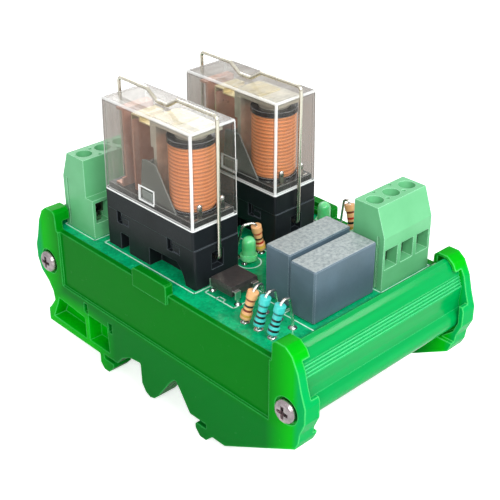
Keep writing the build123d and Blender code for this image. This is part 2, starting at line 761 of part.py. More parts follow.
def make_block_pins(centre_x, face, side):
    """Post through the board with a tongue that reaches into the cage."""
    tongue_high = cage_low + clamp_sheet + 0.55
    with BuildPart() as pins:
        for dx in way_offsets:
            way = centre_x + dx
            slab(way, 1.0, face, side, post_depth - 0.4, post_depth + 0.4, -board_thickness, tongue_high)
            slab(way, 1.0, face, side, 3.2, post_depth, tongue_high - 0.5, tongue_high)
            need_lead(way, side * (face - post_depth), 0.65)
    return pins.part


for name, centre_x, face, side in (
    ("control", control_block_x, control_block_face, 1),
    ("output", output_block_x, output_block_face, -1),
):
    save(make_block_housing(centre_x, face, side), f"{name}_terminal_housing")
    save(make_clamps(centre_x, face, side), f"{name}_terminal_clamps")
    save(make_clamp_screws(centre_x, face, side), f"{name}_terminal_screws")
    save(make_block_pins(centre_x, face, side), f"{name}_terminal_pins")


# Film capacitors
def make_capacitor(x, y):
    foot_x = capacitor_length / 2 - 0.8
    foot_y = capacitor_width / 2 - 0.8
    ends = (-capacitor_pitch / 2, capacitor_pitch / 2)
    with BuildPart() as capacitor:
        with BuildSketch(Plane.XY.offset(board_top + 0.3)):
            with Locations((x, y)):
                Rectangle(capacitor_length, capacitor_width)
        extrude(amount=capacitor_height - 0.3)
        chamfer(capacitor.edges().filter_by(Axis.Z), 0.3)
        chamfer(capacitor.faces().sort_by(Axis.Z)[-1].edges(), 0.3)
        with BuildSketch(Plane.XY.offset(board_top)):
            with Locations(*[(x + sx * foot_x, y + sy * foot_y) for sx in (-1, 1) for sy in (-1, 1)]):
                Circle(0.4)
        extrude(amount=0.4)
        with BuildSketch(Plane.XY.offset(board_bottom)):
            with Locations(*[(x + dx, y) for dx in ends]):
                Circle(lead_radius)
        extrude(amount=board_thickness + 1.0)
    for dx in ends:
        need_lead(x + dx, y, lead_radius)
    return capacitor.part


save(make_capacitor(-2.7, -28.7), "film_capacitor_1")
save(make_capacitor(-1.4, -20.6), "film_capacitor_2")


# Bridge rectifiers, each with two leads on a side
def make_rectifier(x, y):
    low = board_top + rectifier_standoff
    middle = low + rectifier_height * 0.55
    row = rectifier_rows / 2
    lead_sheet = 0.25
    leads = [(side, dx) for side in (-1, 1) for dx in (-rectifier_pitch / 2, rectifier_pitch / 2)]
    with BuildPart() as rectifier:
        for rise in (low + rectifier_height - middle, low - middle):
            with BuildSketch(Plane.XY.offset(middle)):
                with Locations((x, y)):
                    Rectangle(rectifier_length, rectifier_width)
            extrude(amount=rise, taper=7)
        for side, dx in leads:
            # Wide shoulder bent down outside the body, then a narrow end through the board
            with BuildSketch(Plane.YZ.offset(x + dx - 0.75)):
                with Locations((y + side * (row / 2 + 1.3), middle)):
                    Rectangle(row - 2.6 + lead_sheet, lead_sheet)
                with Locations((y + side * row, (middle + lead_sheet / 2 + board_top + 1.3) / 2)):
                    Rectangle(lead_sheet, middle + lead_sheet / 2 - board_top - 1.3)
            extrude(amount=1.5)
            with BuildSketch(Plane.XY.offset(board_bottom)):
                with Locations((x + dx, y + side * row)):
                    Rectangle(0.6, lead_sheet)
            extrude(amount=board_thickness + 1.5)
    for side, dx in leads:
        need_lead(x + dx, y + side * row, 0.33)
    return rectifier.part


rectifier_1 = (-14.46, -12.3)
save(make_rectifier(*rectifier_1), "bridge_rectifier_1")
save(make_rectifier(rectifier_1[0] + relay_pitch, rectifier_1[1]), "bridge_rectifier_2")


# Indicator lamps
def make_lamp(x, y):
    low = board_top + led_standoff
    with BuildPart() as lamp:
        with BuildSketch(Plane.XZ.offset(-y)):
            with BuildLine():
                Polyline((x, low), (x + led_radius + 0.4, low), (x + led_radius + 0.4, low + 1.0),
                         (x + led_radius, low + 1.0), (x + led_radius, low + led_height - led_radius))
                RadiusArc((x + led_radius, low + led_height - led_radius), (x, low + led_height), -led_radius)
                Line((x, low + led_height), (x, low))
            make_face()
        revolve(axis=Axis((x, y, 0), (0, 0, 1)))
        with BuildSketch(Plane.XY.offset(board_bottom)):
            with Locations((x - 1.27, y), (x + 1.27, y)):
                Rectangle(0.45, 0.45)
        extrude(amount=board_thickness + led_standoff + 0.2)
    for dx in (-1.27, 1.27):
        need_lead(x + dx, y, 0.33)
    return lamp.part


save(make_lamp(-3.6, -5.2), "indicator_lamp_1")
save(make_lamp(20.1, -5.2), "indicator_lamp_2")


# Standing resistors: foot, top and far pad of each
resistor_places = [
    ((-20.4, -21.8), (-19.2, -23.3), (-15.1, -22.0)),
    ((-20.3, -25.5), (-19.0, -26.4), (-14.9, -25.7)),
    ((-20.4, -29.4), (-18.9, -30.4), (-15.1, -29.7)),
    ((1.3, -3.9), (-0.5, -4.0), (-3.9, -1.6)),
    ((22.0, -12.6), (22.2, -10.6), (22.2, -8.6)),
    ((18.4, 0.2), (18.4, -1.0), (20.2, -1.6)),
]


def make_resistor(foot, top, pad):
    """Wire up from one pad, through the upright body and over to the other pad."""
    crown = board_top + resistor_length + 1.9
    span = Vector(pad[0] - top[0], pad[1] - top[1]).length
    points = [
        (foot[0], foot[1], board_bottom), (foot[0], foot[1], board_top + 0.8), (top[0], top[1], crown),
        ((top[0] + 2 * pad[0]) / 3, (top[1] + 2 * pad[1]) / 3, crown - 0.7),
        (pad[0], pad[1], board_top + 2.0), (pad[0], pad[1], board_bottom),
    ]
    lean = Vector(*points[2]) - Vector(*points[1])
    body_plane = Plane(Vector(*points[1]) + lean.normalized() * 0.3, z_dir=lean)
    with BuildPart() as resistor:
        with BuildLine() as route:
            FilletPolyline(*points, radius=loop_bend * span)
        with BuildSketch(Plane(points[0], z_dir=(0, 0, 1))):
            Circle(lead_radius)
        sweep(path=route.wires()[0])
        for low, high, radius in (
            (0, resistor_length * 0.24, resistor_radius),
            (resistor_length * 0.2, resistor_length * 0.8, resistor_radius - 0.2),
            (resistor_length * 0.76, resistor_length, resistor_radius),
        ):
            with BuildSketch(body_plane.offset(low)):
                Circle(radius)
            extrude(amount=high - low)
    for place in (foot, pad):
        need_lead(place[0], place[1], lead_radius)
    return resistor.part


for number, places in enumerate(resistor_places, start=1):
    save(make_resistor(*places), f"resistor_{number}")


# Circuit board with a hole for each lead, and the solder joints below it
with BuildPart() as circuit_board:
    with BuildSketch(Plane.XY.offset(board_bottom)):
        Rectangle(inner_length - 2 * end_clearance, 2 * board_half_width)
        for x, y, radius in lead_places:
            with Locations((x, y)):
                Circle(radius + lead_clearance, mode=Mode.SUBTRACT)
    extrude(amount=board_thickness)
save(circuit_board.part, "circuit_board")

with BuildPart() as solder_joints:
    with BuildSketch(Plane.XY.offset(board_bottom)):
        for x, y, radius in lead_places:
            with Locations((x, y)):
                Circle(radius + solder_margin)
    extrude(amount=-solder_height, taper=22)
save(solder_joints.part, "solder_joints")
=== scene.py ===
"""Relay module board: finishes, windings, board print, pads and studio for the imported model."""

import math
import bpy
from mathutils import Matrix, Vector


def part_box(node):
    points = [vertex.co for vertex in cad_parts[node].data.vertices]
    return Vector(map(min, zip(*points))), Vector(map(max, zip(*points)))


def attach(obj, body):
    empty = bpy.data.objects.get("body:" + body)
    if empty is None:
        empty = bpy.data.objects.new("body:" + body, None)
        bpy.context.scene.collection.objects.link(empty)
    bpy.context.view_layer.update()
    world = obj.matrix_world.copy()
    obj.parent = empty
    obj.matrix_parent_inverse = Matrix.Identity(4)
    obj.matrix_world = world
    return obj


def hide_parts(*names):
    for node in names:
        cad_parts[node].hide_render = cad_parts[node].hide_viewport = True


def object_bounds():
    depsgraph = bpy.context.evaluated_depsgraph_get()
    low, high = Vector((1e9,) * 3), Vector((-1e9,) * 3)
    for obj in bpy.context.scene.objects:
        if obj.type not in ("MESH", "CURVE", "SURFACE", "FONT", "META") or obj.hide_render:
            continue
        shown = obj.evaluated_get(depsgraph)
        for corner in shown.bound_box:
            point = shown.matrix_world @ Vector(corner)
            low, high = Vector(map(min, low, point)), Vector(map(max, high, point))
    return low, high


bl_info = {
    "name": "Relay module board",
    "version": (1, 0, 0),
    "blender": (4, 5, 0),
    "location": "3D View > Sidebar > Relay module",
    "description": "Dresses a rail-mounted relay module and sets up its studio",
    "category": "Object",
}

import bpy
from bpy.props import FloatProperty, FloatVectorProperty, IntProperty, PointerProperty
from bpy.types import Operator, Panel, PropertyGroup
from mathutils import Vector

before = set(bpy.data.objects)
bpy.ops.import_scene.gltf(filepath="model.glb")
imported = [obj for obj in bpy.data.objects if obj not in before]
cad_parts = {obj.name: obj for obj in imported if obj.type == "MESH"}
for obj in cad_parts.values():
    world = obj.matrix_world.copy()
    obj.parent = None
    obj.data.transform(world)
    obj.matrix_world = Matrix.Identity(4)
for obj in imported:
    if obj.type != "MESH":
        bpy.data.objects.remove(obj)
cad_low, cad_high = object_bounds()

MM = 0.001
BOARD_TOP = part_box("circuit_board")[1].z
PAIR = (1, 2)                     # numbers of the relays, rectifiers, lamps and capacitors
NOISE_RANGE = (0.3, 0.7)          # where most values of a noise lie
EDGE_TURN = (0.98, 0.75)          # cosine of a rounded edge's turn, beside it and on it
BEVEL_SAMPLES = 6
MIX_FIRST, MIX_SECOND, MIX_RESULT = 6, 7, 2    # colour sockets of the mix node
MERGE_DISTANCE = 1e-6             # between doubled points
SHARP_FROM = math.radians(35)     # angle of the edges that get a bevel
SMOOTH_TO = math.radians(50)      # angle up to which faces shade as one


def srgb(red, green, blue):
    """Linear colour of a screen colour given in steps of 255."""
    def linear(step):
        value = step / 255
        return value / 12.92 if value <= 0.04045 else ((value + 0.055) / 1.055) ** 2.4
    return (linear(red), linear(green), linear(blue))


def opaque(colour):
    return (colour[0], colour[1], colour[2], 1.0)


def dimmed(colour, share):
    return tuple(part * share for part in colour)


# Sizes and colours that a user would change

class CarrierSettings(PropertyGroup):
    # Partly painted sheen: a green with the bluish sheen of outward faces painted in, used on the profile and
    # the ears' outer ends
    plastic: FloatVectorProperty(
        name="Plastic", description="Colour of the carrier's green plastic",
        subtype="COLOR", size=3, min=0, max=1, default=srgb(0, 162, 78))
    deep_plastic: FloatVectorProperty(
        name="Deep plastic", description="Colour of the plastic where it is thick",
        subtype="COLOR", size=3, min=0, max=1, default=srgb(0, 115, 18))
    # Painted light: this colour stands for light shining through the thin ears and arms
    bright_plastic: FloatVectorProperty(
        name="Bright plastic", description="Colour of thin plastic that light shines through",
        subtype="COLOR", size=3, min=0, max=1, default=srgb(0, 176, 14))
    gloss_roughness: FloatProperty(
        name="Roughness", description="Roughness of the moulded surface",
        subtype="FACTOR", min=0, max=1, default=0.22)


class BoardSettings(PropertyGroup):
    lacquer: FloatVectorProperty(
        name="Lacquer", description="Colour of the board's lacquer",
        subtype="COLOR", size=3, min=0, max=1, default=srgb(0, 168, 108))
    print_colour: FloatVectorProperty(
        name="Print", description="Colour of the printed outlines",
        subtype="COLOR", size=3, min=0, max=1, default=srgb(206, 244, 228))
    print_width: FloatProperty(
        name="Print width", description="Width of a printed line",
        subtype="DISTANCE", unit="LENGTH", min=0.05 * MM, max=1 * MM, default=0.3 * MM)
    print_height: FloatProperty(
        name="Print height", description="Thickness of the printed lines",
        subtype="DISTANCE", unit="LENGTH", min=0.005 * MM, max=0.1 * MM, default=0.02 * MM)


class RelaySettings(PropertyGroup):
    wire_pitch: FloatProperty(
        name="Wire pitch", description="Distance between two turns of the winding",
        subtype="DISTANCE", unit="LENGTH", min=0.2 * MM, max=1 * MM, default=0.4 * MM)
    turn_steps: IntProperty(
        name="Steps a turn", description="Faces along one turn of the winding", min=16, max=96, default=40)
    copper: FloatVectorProperty(
        name="Copper", description="Colour of the enamelled wire",
        subtype="COLOR", size=3, min=0, max=1, default=srgb(255, 170, 112))


class StageSettings(PropertyGroup):
    lens: FloatProperty(
        name="Lens", description="Focal length on a 36 mm sensor",
        unit="CAMERA", min=10, max=300, default=75.65)
    floor_size: FloatProperty(
        name="Floor size", description="Side of the floor",
        subtype="DISTANCE", unit="LENGTH", min=1, max=50, default=12)
    key_power: FloatProperty(
        name="Key lamp", description="Power of the large soft lamp", unit="POWER", min=0, max=50, default=2.4)
    side_power: FloatProperty(
        name="Side lamp", description="Power of the lamp beside the camera", unit="POWER", min=0, max=50,
        default=1.5)
    glint_power: FloatProperty(
        name="Glint lamp", description="Power of the small lamp that puts bright lines on rounded edges",
        unit="POWER", min=0, max=50, default=0.55)
    back_power: FloatProperty(
        name="Back lamp", description="Power of the lamp behind the module", unit="POWER", min=0, max=50,
        default=0.9)
    room_light: FloatProperty(
        name="Room light", description="Strength of the light that comes from all around",
        min=0, max=5, default=0.5)


# Shading helpers

class Finish:
    """A material with its shader, its object coordinates and the nodes that a finish is made of."""

    def __init__(self, name):
        self.material = bpy.data.materials.new(name)
        self.material.use_nodes = True
        self.tree = self.material.node_tree
        self.shader = self.tree.nodes["Principled BSDF"]
        self.place = self.add("ShaderNodeTexCoord").outputs["Object"]

    def add(self, kind, **values):
        node = self.tree.nodes.new(kind)
        for key, value in values.items():
            setattr(node, key, value)
        return node

    def link(self, source, target):
        self.tree.links.new(source, target)

    def set(self, **values):
        """Plain values on the shader's own sockets, named with underscores."""
        for key, value in values.items():
            self.shader.inputs[key.replace("_", " ")].default_value = value

    def noise(self, scale, detail=3.0, roughness=0.5, place=None):
        node = self.add("ShaderNodeTexNoise")
        node.inputs["Scale"].default_value = scale
        node.inputs["Detail"].default_value = detail
        node.inputs["Roughness"].default_value = roughness
        self.link(place or self.place, node.inputs["Vector"])
        return node.outputs["Fac"]

    def stretched(self, scale):
        """Object coordinates stretched by three factors."""
        node = self.add("ShaderNodeMapping")
        node.inputs["Scale"].default_value = scale
        self.link(self.place, node.inputs["Vector"])
        return node.outputs["Vector"]

    def ramp(self, factor, stops, interpolation="LINEAR"):
        node = self.add("ShaderNodeValToRGB")
        node.color_ramp.interpolation = interpolation
        elements = node.color_ramp.elements
        while len(elements) < len(stops):
            elements.new(0.5)
        for element, (position, colour) in zip(elements, stops):
            element.position = position
            element.color = opaque(colour)
        self.link(factor, node.inputs["Fac"])
        return node.outputs["Color"]

    def map(self, value, low, high, new_low, new_high):
        node = self.add("ShaderNodeMapRange")
        limits = {"From Min": low, "From Max": high, "To Min": new_low, "To Max": new_high}
        for name, limit in limits.items():
            node.inputs[name].default_value = limit
        self.link(value, node.inputs["Value"])
        return node.outputs["Result"]

    def fade(self, value, start, end):
        """0 where the value is at the start, rising to 1 at the end."""
        return self.map(value, start, end, 0.0, 1.0)

    def vary(self, noise, low, high):
        """A noise brought to a range of values."""
        return self.map(noise, *NOISE_RANGE, low, high)

    def blend(self, noise, dark, light):
        """A noise brought to a range of colours."""
        return self.ramp(noise, tuple(zip(NOISE_RANGE, (dark, light))))

    def math(self, operation, first, second=0.0):
        node = self.add("ShaderNodeMath", operation=operation)
        for socket, value in zip(node.inputs, (first, second)):
            if isinstance(value, (int, float)):
                socket.default_value = value
            else:
                self.link(value, socket)
        return node.outputs["Value"]

    def chain(self, operation, first, *others):
        """One operation over several values in turn."""
        for value in others:
            first = self.math(operation, first, value)
        return first

    def mix(self, factor, first, second):
        node = self.add("ShaderNodeMix", data_type="RGBA")
        self.link(factor, node.inputs["Factor"])
        for socket, value in ((node.inputs[MIX_FIRST], first), (node.inputs[MIX_SECOND], second)):
            if isinstance(value, tuple):
                socket.default_value = opaque(value)
            else:
                self.link(value, socket)
        return node.outputs[MIX_RESULT]

    def mix_shaders(self, factor, first, second):
        node = self.add("ShaderNodeMixShader")
        for socket, output in zip(node.inputs, (factor, first, second)):
            self.link(output, socket)
        return node.outputs["Shader"]

    def axis(self, name):
        """One of the object coordinates, in metres."""
        node = self.add("ShaderNodeSeparateXYZ")
        self.link(self.place, node.inputs["Vector"])
        return node.outputs[name]

    def away(self, name, centre):
        """Distance from a centre along one axis, in metres."""
        return self.math("ABSOLUTE", self.math("SUBTRACT", self.axis(name), centre))

    def rounded(self, radius):
        """Normals of edges that look rounded by a radius."""
        node = self.add("ShaderNodeBevel", samples=BEVEL_SAMPLES)
        node.inputs["Radius"].default_value = radius
        return node.outputs["Normal"]

    def edges(self, width):
        """1 along the sharp edges, fading to 0 a width away from them."""
        turn = self.add("ShaderNodeVectorMath", operation="DOT_PRODUCT")
        self.link(self.rounded(width), turn.inputs[0])
        self.link(self.add("ShaderNodeNewGeometry").outputs["Normal"], turn.inputs[1])
        return self.fade(turn.outputs["Value"], *EDGE_TURN)

    def bump(self, height, distance, rounding=0.0):
        """Fine relief, on edges that look rounded by the given radius."""
        node = self.add("ShaderNodeBump")
        node.inputs["Distance"].default_value = distance
        self.link(height, node.inputs["Height"])
        self.link(node.outputs["Normal"], self.shader.inputs["Normal"])
        if rounding:
            self.link(self.rounded(rounding), node.inputs["Normal"])

    def colour(self, output):
        self.link(output, self.shader.inputs["Base Color"])

    def roughness(self, output):
        self.link(output, self.shader.inputs["Roughness"])

    def metallic(self, output):
        self.link(output, self.shader.inputs["Metallic"])

    def surface(self, output):
        """Shows a shader in place of the material's own."""
        self.link(output, self.tree.nodes["Material Output"].inputs["Surface"])


def moulded_plastic(name, light, dark, rim_highlight, roughness, grain=900.0, relief=0.012 * MM,
                    rounding=0.15 * MM, shine=0.4):
    """Moulded plastic: slight cloudiness of colour, fine grain and rounded edges that catch the light, with a
    painted highlight along them.
    """
    finish = Finish(name)
    body = finish.blend(finish.noise(90.0, 4.0, 0.6), dark, light)
    # Painted highlight: a lighter colour along the rounded edges
    finish.colour(finish.mix(finish.edges(rounding * 1.5), body, rim_highlight))
    fine = finish.noise(grain * 3, 5.0, 0.6)
    finish.roughness(finish.vary(fine, roughness - 0.05, roughness + 0.08))
    finish.bump(finish.noise(grain, 4.0, 0.55), relief, rounding)
    finish.set(Specular_IOR_Level=shine)
    return finish.material


def bright_metal(name, light, dark, roughness, grain=(400.0, 400.0, 400.0), metallic=1.0):
    """Plated or drawn metal with fine marks."""
    finish = Finish(name)
    marks = finish.noise(1.0, 5.0, 0.6, finish.stretched(grain))
    finish.colour(finish.ramp(marks, ((0.25, dark), (0.75, light))))
    finish.roughness(finish.map(marks, 0.2, 0.8, roughness - 0.06, roughness + 0.1))
    finish.bump(marks, 0.004 * MM)
    finish.set(Metallic=metallic)
    return finish.material


def paint(node_name, material):
    """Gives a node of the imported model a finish."""
    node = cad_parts[node_name]
    if node.material_slots:
        node.material_slots[0].material = material
    else:
        node.data.materials.append(material)


def deselect_all():
    if bpy.context.object and bpy.context.object.mode != "OBJECT":
        bpy.ops.object.mode_set(mode="OBJECT")
    bpy.ops.object.select_all(action="DESELECT")


def pick(piece):
    """Selects one piece alone and makes it the active one."""
    deselect_all()
    piece.select_set(True)
    bpy.context.view_layer.objects.active = piece


def settle(piece):
    """Puts the piece's place, turn and size into its mesh."""
    pick(piece)
    bpy.ops.object.transform_apply(location=True, rotation=True, scale=True)


def join(name, parts):
    deselect_all()
    for part in parts:
        part.select_set(True)
    bpy.context.view_layer.objects.active = parts[0]
    bpy.ops.object.join()
    piece = bpy.context.object
    piece.name = name
    piece.data.name = name
    settle(piece)
    return piece


def apply_modifier(piece, kind, **values):
    pick(piece)
    modifier = piece.modifiers.new(kind.title(), kind)
    for key, value in values.items():
        setattr(modifier, key, value)
    bpy.ops.object.modifier_apply(modifier=modifier.name)


def outward(piece):
    """Merges doubles and turns every face outwards."""
    pick(piece)
    bpy.ops.object.mode_set(mode="EDIT")
    bpy.ops.mesh.select_all(action="SELECT")
    bpy.ops.mesh.remove_doubles(threshold=MERGE_DISTANCE)
    bpy.ops.mesh.normals_make_consistent(inside=False)
    bpy.ops.object.mode_set(mode="OBJECT")


def complete(piece, body, slot, material, *nodes):
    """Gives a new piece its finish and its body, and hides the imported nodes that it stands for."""
    piece.data.materials.clear()
    piece.data.materials.append(material)
    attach(piece, body)
    if nodes:
        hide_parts(*nodes)


def soften_edges(node_name, width):
    """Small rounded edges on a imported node, as moulding or forming leaves them."""
    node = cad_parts[node_name]
    weld = node.modifiers.new("Weld", "WELD")
    weld.merge_threshold = MERGE_DISTANCE
    bevel = node.modifiers.new("Bevel", "BEVEL")
    bevel.width = width
    bevel.segments = 2
    bevel.limit_method = "ANGLE"
    bevel.angle_limit = SHARP_FROM
    bevel.use_clamp_overlap = True


# Carrier: bands in which the end plates' colour changes, away from the middle in Y or up in Z: painted light
# shining through the thin ears and arms, a painted bluish sheen on the ears' outer ends and a bluer tint
# towards the foot
EAR_BAND = (33.5 * MM, 40.0 * MM)
EAR_END_SHEEN_BAND = (40.6 * MM, 42.2 * MM)
ARM_BAND = (15.0 * MM, 24.0 * MM)
ARM_TOP_BAND = (15.0 * MM, 11.0 * MM)
FOOT_TOP_BAND = (16.4 * MM, 14.8 * MM)
FOOT_TINT = (1.0, 0.92, 2.2)
INNER_LIGHT = {
    "Subsurface_Weight": 0.12, "Subsurface_Scale": 2 * MM, "Subsurface_Radius": (0.1, 1.0, 0.2),
}


class MODULE_OT_finish_carrier(Operator):
    """Green plastic and steel screws for the profile and the end plates"""
    bl_idname = "module.finish_carrier"
    bl_label = "Finish carrier"

    def execute(self, context):
        settings = context.scene.carrier_settings
        green, gloss = tuple(settings.plastic), settings.gloss_roughness
        deep, bright = tuple(settings.deep_plastic), tuple(settings.bright_plastic)
        plate = Finish("carrier_plastic")
        reach = plate.away("Y", 0.0)
        height = plate.axis("Z")
        ear = plate.fade(reach, *EAR_BAND)
        arm = plate.math("MULTIPLY", plate.fade(plate.axis("Y"), *ARM_BAND),
                         plate.fade(height, *ARM_TOP_BAND))
        foot = tuple(part * tint for part, tint in zip(deep, FOOT_TINT))
        body = plate.mix(plate.fade(height, *FOOT_TOP_BAND), deep, foot)
        # Painted light shining through the thin ears and arms
        body = plate.mix(plate.math("MAXIMUM", ear, arm), body, bright)
        # Painted sheen: the ears' outer ends take the bluish green of outward faces
        body = plate.mix(plate.fade(reach, *EAR_END_SHEEN_BAND), body, green)
        # Painted highlights along the rounded edges, stronger on the ears
        rim_highlights = plate.math("MULTIPLY", plate.edges(0.6 * MM), plate.map(ear, 0.0, 1.0, 0.35, 0.9))
        plate.colour(plate.mix(rim_highlights, body, srgb(96, 236, 132)))
        plate.roughness(plate.vary(plate.noise(500.0, 4.0, 0.6), gloss - 0.04, gloss + 0.06))
        plate.bump(plate.noise(160.0, 3.0, 0.5), 0.03 * MM, 0.4 * MM)
        plate.set(Specular_IOR_Level=0.03, **INNER_LIGHT)
        profile = Finish("profile_plastic")
        drawn = profile.noise(1.0, 3.0, 0.5, profile.stretched((20.0, 500.0, 500.0)))
        # Painted sheen: the profile's green carries the bluish sheen of its outward faces, with drawn lines
        # along it
        body = profile.blend(drawn, dimmed(green, 0.8), green)
        # Painted highlights along the profile's rounded edges
        profile.colour(profile.mix(profile.edges(0.5 * MM), body, srgb(96, 240, 160)))
        profile.roughness(profile.vary(drawn, 0.12, 0.2))
        profile.bump(drawn, 0.01 * MM, 0.5 * MM)
        profile.set(Specular_IOR_Level=0.1, **INNER_LIGHT)
        for name in ("near_end_plate", "far_end_plate"):
            paint(name, plate.material)
            soften_edges(name, 0.16 * MM)
        paint("carrier_profile", profile.material)
        screw = bright_metal("plated_steel", srgb(196, 184, 186), srgb(120, 110, 114), 0.24)
        for name in ("near_plate_screws", "far_plate_screws"):
            paint(name, screw)
        return {"FINISHED"}


# Board, its print and its pads. Pad radii, lead places and the notch are in millimetres
WEAVE_SHARE, CLOUD_SHARE = 0.45, 0.55
PRINT_LIFT = 0.006 * MM
LAMP_RING = 2.7 * MM    # radius of the ring printed round a lamp
NOTCH_WIDTH, NOTCH_START = 1.0, 3.4    # step in a rectifier's outline
RESISTOR_PAD, RECTIFIER_PAD, LAMP_PAD = 0.95, 0.8, 0.75
RECTIFIER_LEADS = (2.54, 3.81)         # from the package's middle in X and Y
LAMP_LEADS = 1.27                      # from the lamp's middle in X
PAD_LIFT, PAD_THICKNESS = 0.002 * MM, 0.04 * MM
SOLDER_LIFT, SOLDER_HEIGHT = 0.03 * MM, 0.4 * MM
SOLDER_SHARE, SOLDER_TOP = 0.72, 0.34 * MM    # of the pad's radius at the foot, and the radius on top


def lay_strip(start, end, width, z):
    """One flat line on the board, from one point to another, in millimetres from the middle."""
    first, last = Vector(start) * MM, Vector(end) * MM
    run = last - first
    middle = (first + last) / 2
    bpy.ops.mesh.primitive_plane_add(
        size=1, location=(middle.x, middle.y, z), rotation=(0, 0, math.atan2(run.y, run.x)))
    strip = bpy.context.object
    strip.scale = (run.length + width, width, 1)
    return strip


def lay_ring(centre, radius, width, z):
    """One flat ring on the board."""
    bpy.ops.mesh.primitive_circle_add(
        vertices=40, radius=radius + width / 2, fill_type="NGON",
        location=(centre[0] * MM, centre[1] * MM, z))
    ring = bpy.context.object
    bpy.ops.object.mode_set(mode="EDIT")
    bpy.ops.mesh.select_all(action="SELECT")
    bpy.ops.mesh.inset(thickness=width)
    bpy.ops.mesh.delete(type="FACE")
    bpy.ops.object.mode_set(mode="OBJECT")
    return ring


def outline(node_name, left, below, right, above):
    """Two corners of a node's box seen from above, grown by margins, all in millimetres."""
    low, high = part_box(node_name)
    return ((low.x / MM - left, low.y / MM - below), (high.x / MM + right, high.y / MM + above))


def frame_lines(low, high):
    """The four sides of a rectangle."""
    (x0, y0), (x1, y1) = low, high
    return [((x0, y0), (x1, y0)), ((x1, y0), (x1, y1)), ((x1, y1), (x0, y1)), ((x0, y1), (x0, y0))]


class MODULE_OT_finish_board(Operator):
    """Green lacquer with the glass weave showing, and bright solder below"""
    bl_idname = "module.finish_board"
    bl_label = "Finish board"

    def execute(self, context):
        lacquer = tuple(context.scene.board_settings.lacquer)
        light = tuple(min(part * 1.3, 1.0) for part in lacquer)
        finish = Finish("board_lacquer")
        weave = finish.noise(1400.0, 2.0, 0.5)
        cloud = finish.noise(220.0, 4.0, 0.6)
        blend = finish.math("ADD", finish.math("MULTIPLY", weave, WEAVE_SHARE),
                            finish.math("MULTIPLY", cloud, CLOUD_SHARE))
        finish.colour(finish.ramp(blend, ((0.38, dimmed(lacquer, 0.7)), (0.52, lacquer), (0.66, light))))
        finish.roughness(finish.vary(cloud, 0.18, 0.34))
        finish.bump(weave, 0.01 * MM)
        finish.set(Specular_IOR_Level=0.3, Coat_Weight=0.1, Coat_Roughness=0.12)
        paint("circuit_board", finish.material)
        paint("solder_joints", bright_metal("solder_metal", srgb(214, 216, 220), srgb(165, 168, 172), 0.22,
                                            (900.0, 900.0, 900.0)))
        return {"FINISHED"}


class MODULE_OT_print_board(Operator):
    """White outlines printed round the components, without any words"""
    bl_idname = "module.print_board"
    bl_label = "Print board"

    def execute(self, context):
        settings = context.scene.board_settings
        z = BOARD_TOP + PRINT_LIFT
        lines = []
        for number in PAIR:
            lines += frame_lines(*outline(f"relay_{number}_socket", 0.7, 0.5, 0.7, 0.5))
            (x0, y0), (x1, y1) = outline(f"bridge_rectifier_{number}", 0.6, 0.4, 0.6, 0.4)
            lines += frame_lines((x0, y0), (x1, y1))
            inner, low, high = x0 + NOTCH_WIDTH, y0 + NOTCH_START, y1 - NOTCH_START
            lines += [((x0, low), (inner, low)), ((inner, low), (inner, high)), ((inner, high), (x0, high))]
        (x0, y0), (x1, y1) = outline("film_capacitor_1", 1.2, 1.0, 0.5, 0.4)
        lines += [((x0, y0), (x0, y1)), ((x0, y1), (x1, y1))]
        lines += frame_lines(*outline("film_capacitor_2", 1.2, 0.4, 0.1, 0.5))
        lines += frame_lines(*outline("control_terminal_housing", 0.5, 0.5, 0.5, 0.1))
        lines += frame_lines(*outline("output_terminal_housing", 0.4, 0.4, 0.4, 0.1))
        parts = [lay_strip(first, last, settings.print_width, z) for first, last in lines]
        for number in PAIR:
            low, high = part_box(f"indicator_lamp_{number}")
            centre = ((low.x + high.x) / 2 / MM, (low.y + high.y) / 2 / MM)
            parts.append(lay_ring(centre, LAMP_RING, settings.print_width, z))
        piece = join("board_print", parts)
        apply_modifier(piece, "SOLIDIFY", thickness=settings.print_height, offset=1.0)
        finish = Finish("print_ink")
        wear = finish.noise(800.0, 4.0, 0.6)
        ink = tuple(settings.print_colour)
        finish.colour(finish.ramp(wear, ((0.3, dimmed(ink, 0.7)), (0.6, ink))))
        finish.roughness(finish.vary(wear, 0.5, 0.7))
        complete(piece, "module", "board_laminate", finish.material)
        return {"FINISHED"}


